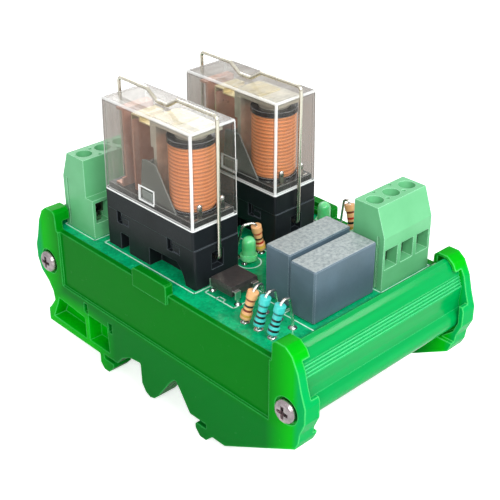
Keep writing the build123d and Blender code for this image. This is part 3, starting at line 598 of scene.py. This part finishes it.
class MODULE_OT_lay_pads(Operator):
    """Tinned pads with a little solder round the leads on the board's top"""
    bl_idname = "module.lay_pads"
    bl_label = "Lay pads"

    def execute(self, context):
        places = []
        for foot, _, pad, *_ in RESISTORS.values():
            places += [(*foot, RESISTOR_PAD), (*pad, RESISTOR_PAD)]
        lead_x, lead_y = RECTIFIER_LEADS
        for number in PAIR:
            low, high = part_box(f"bridge_rectifier_{number}")
            middle = (low + high) / 2 / MM
            places += [(middle.x + dx, middle.y + dy, RECTIFIER_PAD)
                       for dx in (-lead_x, lead_x) for dy in (-lead_y, lead_y)]
            low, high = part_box(f"indicator_lamp_{number}")
            middle = (low + high) / 2 / MM
            places += [(middle.x + dx, middle.y, LAMP_PAD) for dx in (-LAMP_LEADS, LAMP_LEADS)]
        pad_z = BOARD_TOP + PAD_LIFT + PAD_THICKNESS / 2
        solder_z = BOARD_TOP + SOLDER_LIFT + SOLDER_HEIGHT / 2
        parts = []
        for x, y, radius in places:
            bpy.ops.mesh.primitive_cylinder_add(
                vertices=28, radius=radius * MM, depth=PAD_THICKNESS, location=(x * MM, y * MM, pad_z))
            parts.append(bpy.context.object)
            bpy.ops.mesh.primitive_cone_add(
                vertices=24, radius1=radius * SOLDER_SHARE * MM, radius2=SOLDER_TOP, depth=SOLDER_HEIGHT,
                location=(x * MM, y * MM, solder_z))
            parts.append(bpy.context.object)
        piece = join("board_pads", parts)
        bpy.ops.object.shade_smooth_by_angle(angle=SMOOTH_TO)
        tin = bright_metal("pad_metal", srgb(226, 230, 226), srgb(176, 182, 180), 0.2, (700.0, 700.0, 700.0))
        complete(piece, "module", "solder", tin)
        return {"FINISHED"}


# Terminal blocks

class MODULE_OT_finish_terminals(Operator):
    """Pale green housings with plated cages, screws and pins"""
    bl_idname = "module.finish_terminals"
    bl_label = "Finish terminals"

    def execute(self, context):
        steel = bright_metal("clamp_metal", srgb(150, 148, 140), srgb(80, 78, 72), 0.35)
        tin = bright_metal("tinned_metal", srgb(214, 210, 200), srgb(160, 156, 148), 0.26)
        for side in ("control", "output"):
            housing = moulded_plastic(
                f"{side}_terminal_plastic", light=srgb(106, 184, 130), dark=srgb(94, 172, 118),
                rim_highlight=srgb(176, 236, 196), roughness=0.4, grain=700.0, relief=0.008 * MM, rounding=0.2 * MM)
            paint(f"{side}_terminal_housing", housing)
            soften_edges(f"{side}_terminal_housing", 0.1 * MM)
            paint(f"{side}_terminal_clamps", steel)
            paint(f"{side}_terminal_screws", steel)
            paint(f"{side}_terminal_pins", tin)
        return {"FINISHED"}


# Relays

# Windings
WANDER = 0.6 * MM                 # of the painted shade bands between the turns, up and down
WIRE_SHARE = 0.52                 # wire's radius as a share of the pitch, so that turns meet
DRUM_INSET = 1.6                  # wire radii from the winding's outside to the drum behind the turns
DRUM_SHORTER = 0.02 * MM

# Soldered coil ends: a blob on each post and a lead to it from the winding's foot
POST_X, POST_DROP = 3.05 * MM, 0.5 * MM
LEAD_X, LEAD_Y, LEAD_RISE = 2.2 * MM, 1.6 * MM, 0.3 * MM
LEAD_RADIUS = 0.13 * MM
BLOB_RADIUS, BLOB_SCALE = 0.62 * MM, (1.0, 0.85, 1.35)

# Clear covers
COVER_LEAN = 0.0122               # of the walls, inwards per length upwards
EDGE_HIGHLIGHT_WIDTH = 0.45 * MM            # of the painted highlights on the edges
SHADE_WIDTH = 0.75 * MM           # of the painted shade lines along them
RIM_HIGHLIGHT_HEIGHT = 0.38 * MM            # of the painted highlight at the foot
FRAME_Y, FRAME_Z = 0.1 * MM, 3.2 * MM     # middle of the painted highlight framing a latch window, from the middle and the foot
FRAME_HALF_Y, FRAME_HALF_Z = 2.6 * MM, 1.8 * MM
TWO_WALLS = 1.5                   # a point near more walls than this lies on an edge
COVER_TINT = (0.955, 0.953, 0.948)
BASE_BAND = (1.6 * MM, 2.6 * MM)  # above the cover's foot, where the base turns from dark to grey


class MODULE_OT_wind_coils(Operator):
    """Enamelled copper wire wound turn by turn on each bobbin"""
    bl_idname = "module.wind_coils"
    bl_label = "Wind coils"

    def execute(self, context):
        settings = context.scene.relay_settings
        pitch = settings.wire_pitch
        finish = Finish("winding_copper")
        # Painted shade in the grooves between the turns: darker bands every second turn, wandering a little
        # up and down
        wander = finish.math("MULTIPLY", finish.noise(260.0, 2.0, 0.5), WANDER)
        height = finish.math("ADD", finish.axis("Z"), wander)
        phase = finish.math("MULTIPLY", height, math.pi / pitch)
        turn_shade = finish.fade(finish.math("SINE", phase), -1.0, 1.0)
        copper = tuple(settings.copper)
        finish.colour(finish.ramp(turn_shade, ((0.1, dimmed(copper, 0.62)), (0.6, copper))))
        finish.roughness(finish.map(turn_shade, 0.0, 1.0, 0.14, 0.22))
        finish.set(Metallic=0.2, Coat_Weight=0.6, Coat_Roughness=0.06)
        for number in PAIR:
            low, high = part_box(f"relay_{number}_winding")
            centre = (low + high) / 2
            outer = (high.x - low.x) / 2
            wire_radius = pitch * WIRE_SHARE
            turns = int((high.z - low.z - 2 * wire_radius) / pitch)
            spare = (high.z - low.z) - turns * pitch
            deselect_all()
            bpy.ops.mesh.primitive_circle_add(
                vertices=6, radius=wire_radius, location=(outer - wire_radius, 0, 0),
                rotation=(math.radians(90), 0, 0))
            wire = bpy.context.object
            settle(wire)
            apply_modifier(wire, "SCREW", axis="Z", angle=2 * math.pi, screw_offset=pitch,
                           iterations=turns, steps=settings.turn_steps, render_steps=settings.turn_steps,
                           use_merge_vertices=False)
            # Close the wire's two ends
            bpy.ops.object.mode_set(mode="EDIT")
            bpy.ops.mesh.select_all(action="DESELECT")
            bpy.ops.mesh.select_non_manifold(extend=False)
            bpy.ops.mesh.edge_face_add()
            bpy.ops.object.mode_set(mode="OBJECT")
            wire.location = (centre.x, centre.y, low.z + spare / 2)
            deselect_all()
            bpy.ops.mesh.primitive_cylinder_add(
                vertices=64, radius=outer - DRUM_INSET * wire_radius, depth=high.z - low.z - DRUM_SHORTER,
                location=centre)
            drum = bpy.context.object
            piece = join(f"relay_{number}_coil_wire", [wire, drum])
            outward(piece)
            bpy.ops.object.shade_smooth_by_angle(angle=SMOOTH_TO)
            complete(piece, "module", "winding_copper", finish.material, f"relay_{number}_winding")
        return {"FINISHED"}


class MODULE_OT_finish_relays(Operator):
    """Clear covers, dark sockets and the metal of the working parts"""
    bl_idname = "module.finish_relays"
    bl_label = "Finish relays"

    def execute(self, context):
        socket = moulded_plastic(
            "socket_plastic", light=srgb(26, 30, 34), dark=srgb(17, 20, 23), rim_highlight=srgb(80, 88, 94),
            roughness=0.4, grain=1100.0, relief=0.02 * MM, rounding=0.22 * MM, shine=0.2)
        black = moulded_plastic(
            "black_moulding", light=srgb(36, 36, 40), dark=srgb(24, 24, 27), rim_highlight=srgb(190, 190, 190),
            roughness=0.2, relief=0.005 * MM)
        base = Finish("base_moulding")
        cloud = base.noise(120.0, 4.0, 0.6)
        grey = base.blend(cloud, srgb(98, 102, 98), srgb(124, 128, 120))
        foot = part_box("relay_1_cover")[0].z
        above = base.fade(base.axis("Z"), foot + BASE_BAND[0], foot + BASE_BAND[1])
        grey = base.mix(above, srgb(40, 42, 42), grey)
        # Painted highlights along the edges, a light outline round the gusset
        base.colour(base.mix(base.edges(0.3 * MM), grey, srgb(176, 180, 176)))
        base.roughness(base.vary(cloud, 0.3, 0.45))
        base.bump(base.noise(900.0, 3.0, 0.5), 0.01 * MM, 0.2 * MM)
        iron = bright_metal("plated_iron", srgb(232, 226, 210), srgb(196, 190, 174), 0.34, metallic=0.6)
        copper = bright_metal("contact_copper", srgb(216, 166, 144), srgb(186, 132, 112), 0.3, metallic=0.5)
        spring = bright_metal("contact_spring", srgb(236, 222, 178), srgb(198, 180, 136), 0.3, metallic=0.5)
        tin = bright_metal("blade_metal", srgb(214, 210, 200), srgb(160, 156, 148), 0.26)
        wire = bright_metal("spring_wire", srgb(232, 228, 214), srgb(190, 184, 166), 0.24,
                            (500.0, 500.0, 60.0))
        finishes = {
            "socket": socket, "base": base.material, "bobbin": black,
            "core": iron, "yoke": iron, "armature": iron,
            "moving_contact": spring, "closed_contact": copper, "open_contact": copper,
            "common_terminal": copper, "coil_blades": tin, "socket_clips": tin, "retaining_wire": wire,
        }
        for number in PAIR:
            for part, material in finishes.items():
                paint(f"relay_{number}_{part}", material)
            paint(f"relay_{number}_cover", clear_plastic(number))
            soften_edges(f"relay_{number}_socket", 0.12 * MM)
            soften_edges(f"relay_{number}_armature", 0.06 * MM)
        return {"FINISHED"}


def clear_plastic(number):
    """Clear moulded walls with painted highlights on the edges and the foot and framing the latch windows,
    painted shade lines beside the edges, and a milky top.
    """
    low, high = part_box(f"relay_{number}_cover")
    middle, half = (low + high) / 2, (high - low) / 2
    finish = Finish(f"relay_{number}_clear_cover")
    height = finish.axis("Z")
    risen = finish.math("SUBTRACT", height, low.z)
    lean = finish.math("MULTIPLY", risen, COVER_LEAN)

    # Distances inside the side walls and below the top, and which of the walls are near
    inside = [
        finish.math("SUBTRACT", half.x, finish.math("ADD", finish.away("X", middle.x), lean)),
        finish.math("SUBTRACT", half.y, finish.math("ADD", finish.away("Y", middle.y), lean)),
        finish.math("SUBTRACT", high.z, height),
    ]
    near = [finish.math("LESS_THAN", distance, EDGE_HIGHLIGHT_WIDTH) for distance in inside]
    beside = [finish.math("LESS_THAN", distance, SHADE_WIDTH) for distance in inside]

    # How opaque the wall is: painted highlights on the edges, the rim and the window frames, painted shade
    # lines beside the edges, streaked sides, milky top
    # Painted highlights where two walls meet, a little fainter along the top
    edge_highlight = finish.math("MULTIPLY", finish.math("GREATER_THAN", finish.chain("ADD", *near), TWO_WALLS), 0.68)
    edge_highlight = finish.math("ADD", edge_highlight, finish.math("MULTIPLY", near[2], -0.18))
    # Painted highlight along the foot
    rim_highlight = finish.math("MULTIPLY", finish.math("LESS_THAN", risen, RIM_HIGHLIGHT_HEIGHT), 0.9)
    # Painted highlight framing the latch windows
    window_highlight = finish.chain(
        "MULTIPLY", finish.math("LESS_THAN", finish.away("Y", middle.y + FRAME_Y), FRAME_HALF_Y),
        finish.math("LESS_THAN", finish.away("Z", low.z + FRAME_Z), FRAME_HALF_Z), near[0], 0.8)
    bright = finish.chain("MAXIMUM", edge_highlight, rim_highlight, window_highlight)
    # Painted shade: grey lines beside the edges
    line = finish.math("MULTIPLY", finish.math("GREATER_THAN", finish.chain("ADD", *beside), TWO_WALLS), 0.34)
    streaks = finish.noise(1.0, 4.0, 0.6, finish.stretched((160.0, 500.0, 300.0)))
    fine = finish.noise(1.0, 3.0, 0.6, finish.stretched((900.0, 900.0, 60.0)))
    milky = finish.math("MULTIPLY", near[2], finish.map(streaks, 0.35, 0.65, 0.06, 0.42))
    haze = finish.map(finish.axis("Y"), middle.y, high.y, 0.15, 1.0)
    veil = finish.math("MULTIPLY", finish.vary(fine, 0.05, 0.26), haze)
    opacity = finish.chain("MAXIMUM", bright, line, veil, milky)
    shadow = finish.add("ShaderNodeLightPath").outputs["Is Shadow Ray"]
    opacity = finish.math("MULTIPLY", opacity, finish.math("SUBTRACT", 1.0, shadow))

    # Colours: dark grey for the painted shade lines, the haze's own pale grey, and white for the painted
    # highlights
    soft = finish.mix(finish.math("GREATER_THAN", line, 0.1), (0.55, 0.54, 0.5), (0.16, 0.155, 0.15))
    finish.colour(finish.mix(finish.math("GREATER_THAN", bright, 0.4), soft, (0.95, 0.96, 0.95)))
    finish.set(Roughness=0.2)
    slant = finish.add("ShaderNodeLayerWeight").outputs["Facing"]
    mirror = finish.map(finish.math("POWER", slant, 5.0), 0.0, 1.0, 0.015, 0.8)
    gloss = finish.add("ShaderNodeBsdfGlossy")
    gloss.inputs["Roughness"].default_value = 0.04
    clear = finish.add("ShaderNodeBsdfTransparent")
    clear.inputs["Color"].default_value = opaque(COVER_TINT)
    wall = finish.mix_shaders(mirror, clear.outputs["BSDF"], gloss.outputs["BSDF"])
    finish.surface(finish.mix_shaders(opacity, wall, finish.shader.outputs["BSDF"]))
    return finish.material


class MODULE_OT_join_coil_ends(Operator):
    """Ends of each winding, led to the posts of the coil's blades and soldered there"""
    bl_idname = "module.join_coil_ends"
    bl_label = "Join coil ends"

    def execute(self, context):
        solder = bright_metal("coil_solder", srgb(236, 236, 232), srgb(186, 186, 182), 0.2,
                              (900.0, 900.0, 900.0))
        for number in PAIR:
            low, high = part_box(f"relay_{number}_coil_blades")
            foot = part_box(f"relay_{number}_winding")[0].z
            middle = (low + high) / 2
            parts = []
            for side in (-1, 1):
                post = Vector((middle.x + side * POST_X, middle.y, high.z - POST_DROP))
                start = Vector((middle.x + side * LEAD_X, middle.y + LEAD_Y, foot + LEAD_RISE))
                bpy.ops.mesh.primitive_uv_sphere_add(
                    segments=20, ring_count=12, radius=BLOB_RADIUS, location=post)
                blob = bpy.context.object
                blob.scale = BLOB_SCALE
                parts.append(blob)
                run = post - start
                bpy.ops.mesh.primitive_cylinder_add(
                    vertices=12, radius=LEAD_RADIUS, depth=run.length, location=(start + post) / 2,
                    rotation=run.to_track_quat("Z", "Y").to_euler())
                parts.append(bpy.context.object)
            piece = join(f"relay_{number}_coil_joints", parts)
            bpy.ops.object.shade_smooth_by_angle(angle=math.radians(60))
            complete(piece, "module", "solder", solder)
        return {"FINISHED"}


# Small components

PACKAGE_HALF = 3.2 * MM                # of a rectifier in Y, where its leads begin
LAMP_SEAT = (0.97 * MM, 0.99 * MM)     # above the board, between a lamp's leads and its body


class MODULE_OT_finish_capacitors(Operator):
    """Grey potted boxes with plain faces and a grainy top"""
    bl_idname = "module.finish_capacitors"
    bl_label = "Finish capacitors"

    def execute(self, context):
        for number in PAIR:
            name = f"film_capacitor_{number}"
            finish = Finish(f"{name}_case")
            grain = finish.noise(1300.0, 5.0, 0.7)
            sides = finish.blend(finish.noise(120.0, 4.0, 0.6), srgb(74, 92, 104), srgb(84, 104, 118))
            top = finish.ramp(grain, ((0.35, srgb(118, 128, 130)), (0.65, srgb(168, 176, 176))))
            on_top = finish.math("GREATER_THAN", finish.axis("Z"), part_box(name)[1].z - 0.1 * MM)
            # Painted highlights along the edges
            finish.colour(finish.mix(finish.edges(0.3 * MM), finish.mix(on_top, sides, top),
                                     srgb(168, 182, 190)))
            finish.roughness(finish.vary(grain, 0.36, 0.5))
            finish.bump(grain, 0.02 * MM, 0.3 * MM)
            paint(name, finish.material)
            soften_edges(name, 0.2 * MM)
        return {"FINISHED"}


class MODULE_OT_finish_rectifiers(Operator):
    """Black moulded packages with tinned leads"""
    bl_idname = "module.finish_rectifiers"
    bl_label = "Finish rectifiers"

    def execute(self, context):
        for number in PAIR:
            name = f"bridge_rectifier_{number}"
            low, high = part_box(name)
            finish = Finish(f"{name}_package")
            grain = finish.noise(1500.0, 4.0, 0.6)
            body = finish.blend(grain, srgb(40, 37, 37), srgb(60, 55, 54))
            lead = finish.math("GREATER_THAN", finish.away("Y", ((low + high) / 2).y), PACKAGE_HALF)
            finish.colour(finish.mix(lead, body, srgb(228, 226, 220)))
            finish.metallic(lead)
            finish.roughness(finish.map(lead, 0.0, 1.0, 0.36, 0.28))
            finish.bump(grain, 0.012 * MM, 0.15 * MM)
            paint(name, finish.material)
        return {"FINISHED"}


class MODULE_OT_finish_lamps(Operator):
    """Green tinted lamp bodies on tinned leads"""
    bl_idname = "module.finish_lamps"
    bl_label = "Finish lamps"

    def execute(self, context):
        for number in PAIR:
            finish = Finish(f"indicator_lamp_{number}_body")
            cloud = finish.noise(400.0, 3.0, 0.5)
            body = finish.blend(cloud, srgb(90, 214, 130), srgb(140, 240, 170))
            lead = finish.map(finish.axis("Z"), BOARD_TOP + LAMP_SEAT[0], BOARD_TOP + LAMP_SEAT[1], 1.0, 0.0)
            finish.colour(finish.mix(lead, body, srgb(205, 203, 196)))
            finish.metallic(lead)
            finish.roughness(finish.vary(cloud, 0.1, 0.2))
            finish.link(finish.map(lead, 0.0, 1.0, 0.3, 0.0), finish.shader.inputs["Transmission Weight"])
            finish.set(Subsurface_Weight=0.2, Subsurface_Scale=1 * MM)
            paint(f"indicator_lamp_{number}", finish.material)
        return {"FINISHED"}


# Resistors: foot and top of each wire and the pad at its other end in millimetres, lacquer and bands
BLACK, BROWN, RED = srgb(16, 16, 18), srgb(120, 44, 20), srgb(190, 40, 34)
YELLOW = srgb(232, 190, 60)
GOLD, TAN, CYAN, TEAL = srgb(190, 150, 60), srgb(226, 170, 116), srgb(64, 196, 190), srgb(40, 120, 112)
RESISTORS = {
    1: ((-20.4, -21.8), (-19.2, -23.3), (-15.1, -22.0), TAN, (GOLD, BROWN, BLACK, BROWN)),
    2: ((-20.3, -25.5), (-19.0, -26.4), (-14.9, -25.7), CYAN, (BLACK, BLACK, BLACK, TEAL)),
    3: ((-20.4, -29.4), (-18.9, -30.4), (-15.1, -29.7), CYAN, (BLACK, BLACK, BLACK, TEAL)),
    4: ((1.3, -3.9), (-0.5, -4.0), (-3.9, -1.6), TAN, (YELLOW, RED, BLACK, RED)),
    5: ((22.0, -12.6), (22.2, -10.6), (22.2, -8.6), TAN, (GOLD, BLACK, RED, BROWN)),
    6: ((18.4, 0.2), (18.4, -1.0), (20.2, -1.6), TAN, (GOLD, BROWN, BLACK, RED)),
}
BODY_LENGTH, BODY_RADIUS = 6.3 * MM, 1.15 * MM
LEAN_START, LEAN_END = 0.8 * MM, 1.9 * MM      # above the board, and above a body's length over it
BODY_START = 0.3 * MM                          # of the body, along the lean
BODY_SLACK = 0.01 * MM                         # past the body's ends, before the wire begins
BAND_PLACES, BAND_WIDTH = (0.1, 0.28, 0.45, 0.68), 0.08     # shares of the body's length


class MODULE_OT_finish_resistors(Operator):
    """Lacquered bodies with colour bands on tinned wire"""
    bl_idname = "module.finish_resistors"
    bl_label = "Finish resistors"

    def execute(self, context):
        for number, (foot, top, _, lacquer, bands) in RESISTORS.items():
            start = Vector((foot[0] * MM, foot[1] * MM, BOARD_TOP + LEAN_START))
            end = Vector((top[0] * MM, top[1] * MM, BOARD_TOP + BODY_LENGTH + LEAN_END))
            lean = (end - start).normalized()
            finish = Finish(f"resistor_{number}_lacquer")
            shifted = finish.add("ShaderNodeVectorMath", operation="SUBTRACT")
            finish.link(finish.place, shifted.inputs[0])
            shifted.inputs[1].default_value = start + lean * BODY_START
            along = finish.add("ShaderNodeVectorMath", operation="DOT_PRODUCT")
            finish.link(shifted.outputs["Vector"], along.inputs[0])
            along.inputs[1].default_value = lean
            along = along.outputs["Value"]
            stops = [(0.0, lacquer)]
            for place, band in zip(BAND_PLACES, bands):
                stops += [(place, band), (place + BAND_WIDTH, lacquer)]
            body = finish.ramp(finish.fade(along, 0.0, BODY_LENGTH), stops, "CONSTANT")
            length = finish.add("ShaderNodeVectorMath", operation="LENGTH")
            finish.link(shifted.outputs["Vector"], length.inputs[0])
            across = finish.math("SUBTRACT", finish.math("POWER", length.outputs["Value"], 2.0),
                                 finish.math("POWER", along, 2.0))
            wire = finish.chain(
                "MAXIMUM", finish.math("GREATER_THAN", across, (BODY_RADIUS * 1.1) ** 2),
                finish.math("LESS_THAN", along, -BODY_SLACK),
                finish.math("GREATER_THAN", along, BODY_LENGTH + BODY_SLACK))
            finish.colour(finish.mix(wire, body, srgb(214, 212, 206)))
            finish.metallic(wire)
            finish.roughness(finish.map(wire, 0.0, 1.0, 0.3, 0.24))
            finish.bump(finish.noise(900.0, 3.0, 0.5), 0.01 * MM, 0.4 * MM)
            paint(f"resistor_{number}", finish.material)
        return {"FINISHED"}


# Studio

FLOOR_COLOUR, COVERED_FLOOR = (0.93, 0.93, 0.93), (0.42, 0.37, 0.34)    # plain, and with painted shade where it is seen through a cover
FLOOR_GLOW = 0.56
WHITE = (1.0, 1.0, 1.0)
CAMERA_PLACE = (-0.1394, -0.1482, 0.1440)
CAMERA_TARGET = (-0.00603, -0.00813, 0.03532)
LAMPS = (    # name, place, size, setting of its power, colour
    ("key_lamp", (-0.03, -0.42, 0.45), 0.4, "key_power", (0.94, 1.0, 1.0)),
    ("side_lamp", (-0.36, -0.3, 0.32), 0.24, "side_power", WHITE),
    ("glint_lamp", (0.36, -0.38, 0.34), 0.12, "glint_power", WHITE),
    ("back_lamp", (0.25, 0.42, 0.4), 0.35, "back_power", WHITE),
)


def look_at(thing, place, target):
    """Turns a lamp or camera towards a target."""
    thing.rotation_euler = (Vector(target) - Vector(place)).to_track_quat("-Z", "Y").to_euler()


def add_lamp(name, place, target, size, power, colour):
    bpy.ops.object.light_add(type="AREA", location=place)
    lamp = bpy.context.object
    lamp.name = name
    lamp.data.shape = "DISK"
    lamp.data.size = size
    lamp.data.energy = power
    lamp.data.color = colour
    look_at(lamp, place, target)


def light_room(scene, room_light):
    """White surroundings for the rays that see them, and a dimmer light for the others."""
    world = bpy.data.worlds.new("studio")
    scene.world = world
    world.use_nodes = True
    tree = world.node_tree
    background = tree.nodes["Background"]
    background.inputs["Color"].default_value = opaque(WHITE)
    rays = tree.nodes.new("ShaderNodeLightPath").outputs
    seen = rays["Is Camera Ray"]
    for kind in ("Is Transmission Ray", "Is Glossy Ray"):
        either = tree.nodes.new("ShaderNodeMath")
        either.operation = "MAXIMUM"
        tree.links.new(seen, either.inputs[0])
        tree.links.new(rays[kind], either.inputs[1])
        seen = either.outputs["Value"]
    level = tree.nodes.new("ShaderNodeMapRange")
    level.inputs["To Min"].default_value = room_light
    level.inputs["To Max"].default_value = 1.0
    tree.links.new(seen, level.inputs["Value"])
    tree.links.new(level.outputs["Result"], background.inputs["Strength"])


class MODULE_OT_stage(Operator):
    """Pale floor, white surroundings, soft lamps and the camera"""
    bl_idname = "module.stage"
    bl_label = "Set stage"

    def execute(self, context):
        settings = context.scene.stage_settings
        scene = context.scene
        deselect_all()
        bpy.ops.mesh.primitive_plane_add(size=settings.floor_size, location=(0, 0, 0))
        floor = bpy.context.object
        floor.name = "floor"
        finish = Finish("floor_paper")
        finish.set(Roughness=0.9, Specular_IOR_Level=0.1)
        rays = finish.add("ShaderNodeLightPath")
        # Painted shade: the floor seen through a cover is a darker warm grey
        through_cover = finish.math("GREATER_THAN", rays.outputs["Transparent Depth"], 0.5)
        finish.colour(finish.mix(through_cover, FLOOR_COLOUR, COVERED_FLOOR))
        plainly = finish.math("SUBTRACT", rays.outputs["Is Camera Ray"], through_cover)
        glow = finish.add("ShaderNodeEmission")
        glow.inputs["Color"].default_value = opaque(WHITE)
        glow.inputs["Strength"].default_value = FLOOR_GLOW
        both = finish.add("ShaderNodeAddShader")
        finish.link(finish.shader.outputs["BSDF"], both.inputs[0])
        finish.link(glow.outputs["Emission"], both.inputs[1])
        finish.surface(finish.mix_shaders(plainly, finish.shader.outputs["BSDF"], both.outputs["Shader"]))
        floor.data.materials.append(finish.material)

        light_room(scene, settings.room_light)
        middle = (cad_low + cad_high) / 2
        for name, place, size, power, colour in LAMPS:
            add_lamp(name, place, middle, size, getattr(settings, power), colour)

        bpy.ops.object.camera_add(location=CAMERA_PLACE)
        camera = bpy.context.object
        camera.name = "product_camera"
        camera.data.sensor_width = 36
        camera.data.lens = settings.lens
        camera.data.clip_start = 0.01
        look_at(camera, CAMERA_PLACE, CAMERA_TARGET)
        scene.camera = camera
        scene.view_settings.view_transform = "Standard"
        return {"FINISHED"}


class MODULE_PT_panel(Panel):
    """Sidebar panel with the module's settings and steps"""
    bl_idname = "MODULE_PT_panel"
    bl_label = "Relay module"
    bl_space_type = "VIEW_3D"
    bl_region_type = "UI"
    bl_category = "Relay module"

    def draw(self, context):
        layout = self.layout
        for title, settings, operators in GROUPS:
            box = layout.box()
            box.label(text=title)
            if settings:
                group = getattr(context.scene, settings)
                for key in group.__annotations__:
                    box.prop(group, key)
            for operator in operators:
                box.operator(operator)


GROUPS = (
    ("Carrier", "carrier_settings", ("module.finish_carrier",)),
    ("Board", "board_settings", ("module.finish_board", "module.print_board", "module.lay_pads")),
    ("Terminals", None, ("module.finish_terminals",)),
    ("Relays", "relay_settings", ("module.wind_coils", "module.join_coil_ends", "module.finish_relays")),
    ("Components", None, ("module.finish_capacitors", "module.finish_rectifiers",
                          "module.finish_lamps", "module.finish_resistors")),
    ("Stage", "stage_settings", ("module.stage",)),
)

SETTINGS = {
    "carrier_settings": CarrierSettings, "board_settings": BoardSettings,
    "relay_settings": RelaySettings, "stage_settings": StageSettings,
}

CLASSES = (
    *SETTINGS.values(),
    MODULE_OT_finish_carrier, MODULE_OT_finish_board, MODULE_OT_print_board, MODULE_OT_lay_pads,
    MODULE_OT_finish_terminals, MODULE_OT_wind_coils, MODULE_OT_join_coil_ends, MODULE_OT_finish_relays,
    MODULE_OT_finish_capacitors, MODULE_OT_finish_rectifiers, MODULE_OT_finish_lamps,
    MODULE_OT_finish_resistors, MODULE_OT_stage, MODULE_PT_panel,
)


def register():
    for cls in CLASSES:
        bpy.utils.register_class(cls)
    for name, group in SETTINGS.items():
        setattr(bpy.types.Scene, name, PointerProperty(type=group))


def unregister():
    for name in SETTINGS:
        delattr(bpy.types.Scene, name)
    for cls in reversed(CLASSES):
        bpy.utils.unregister_class(cls)


def main():
    register()
    bpy.ops.module.finish_carrier()
    bpy.ops.module.finish_board()
    bpy.ops.module.print_board()
    bpy.ops.module.lay_pads()
    bpy.ops.module.finish_terminals()
    bpy.ops.module.wind_coils()
    bpy.ops.module.join_coil_ends()
    bpy.ops.module.finish_relays()
    bpy.ops.module.finish_capacitors()
    bpy.ops.module.finish_rectifiers()
    bpy.ops.module.finish_lamps()
    bpy.ops.module.finish_resistors()
    bpy.ops.module.stage()


if __name__ == "__main__":
    main()
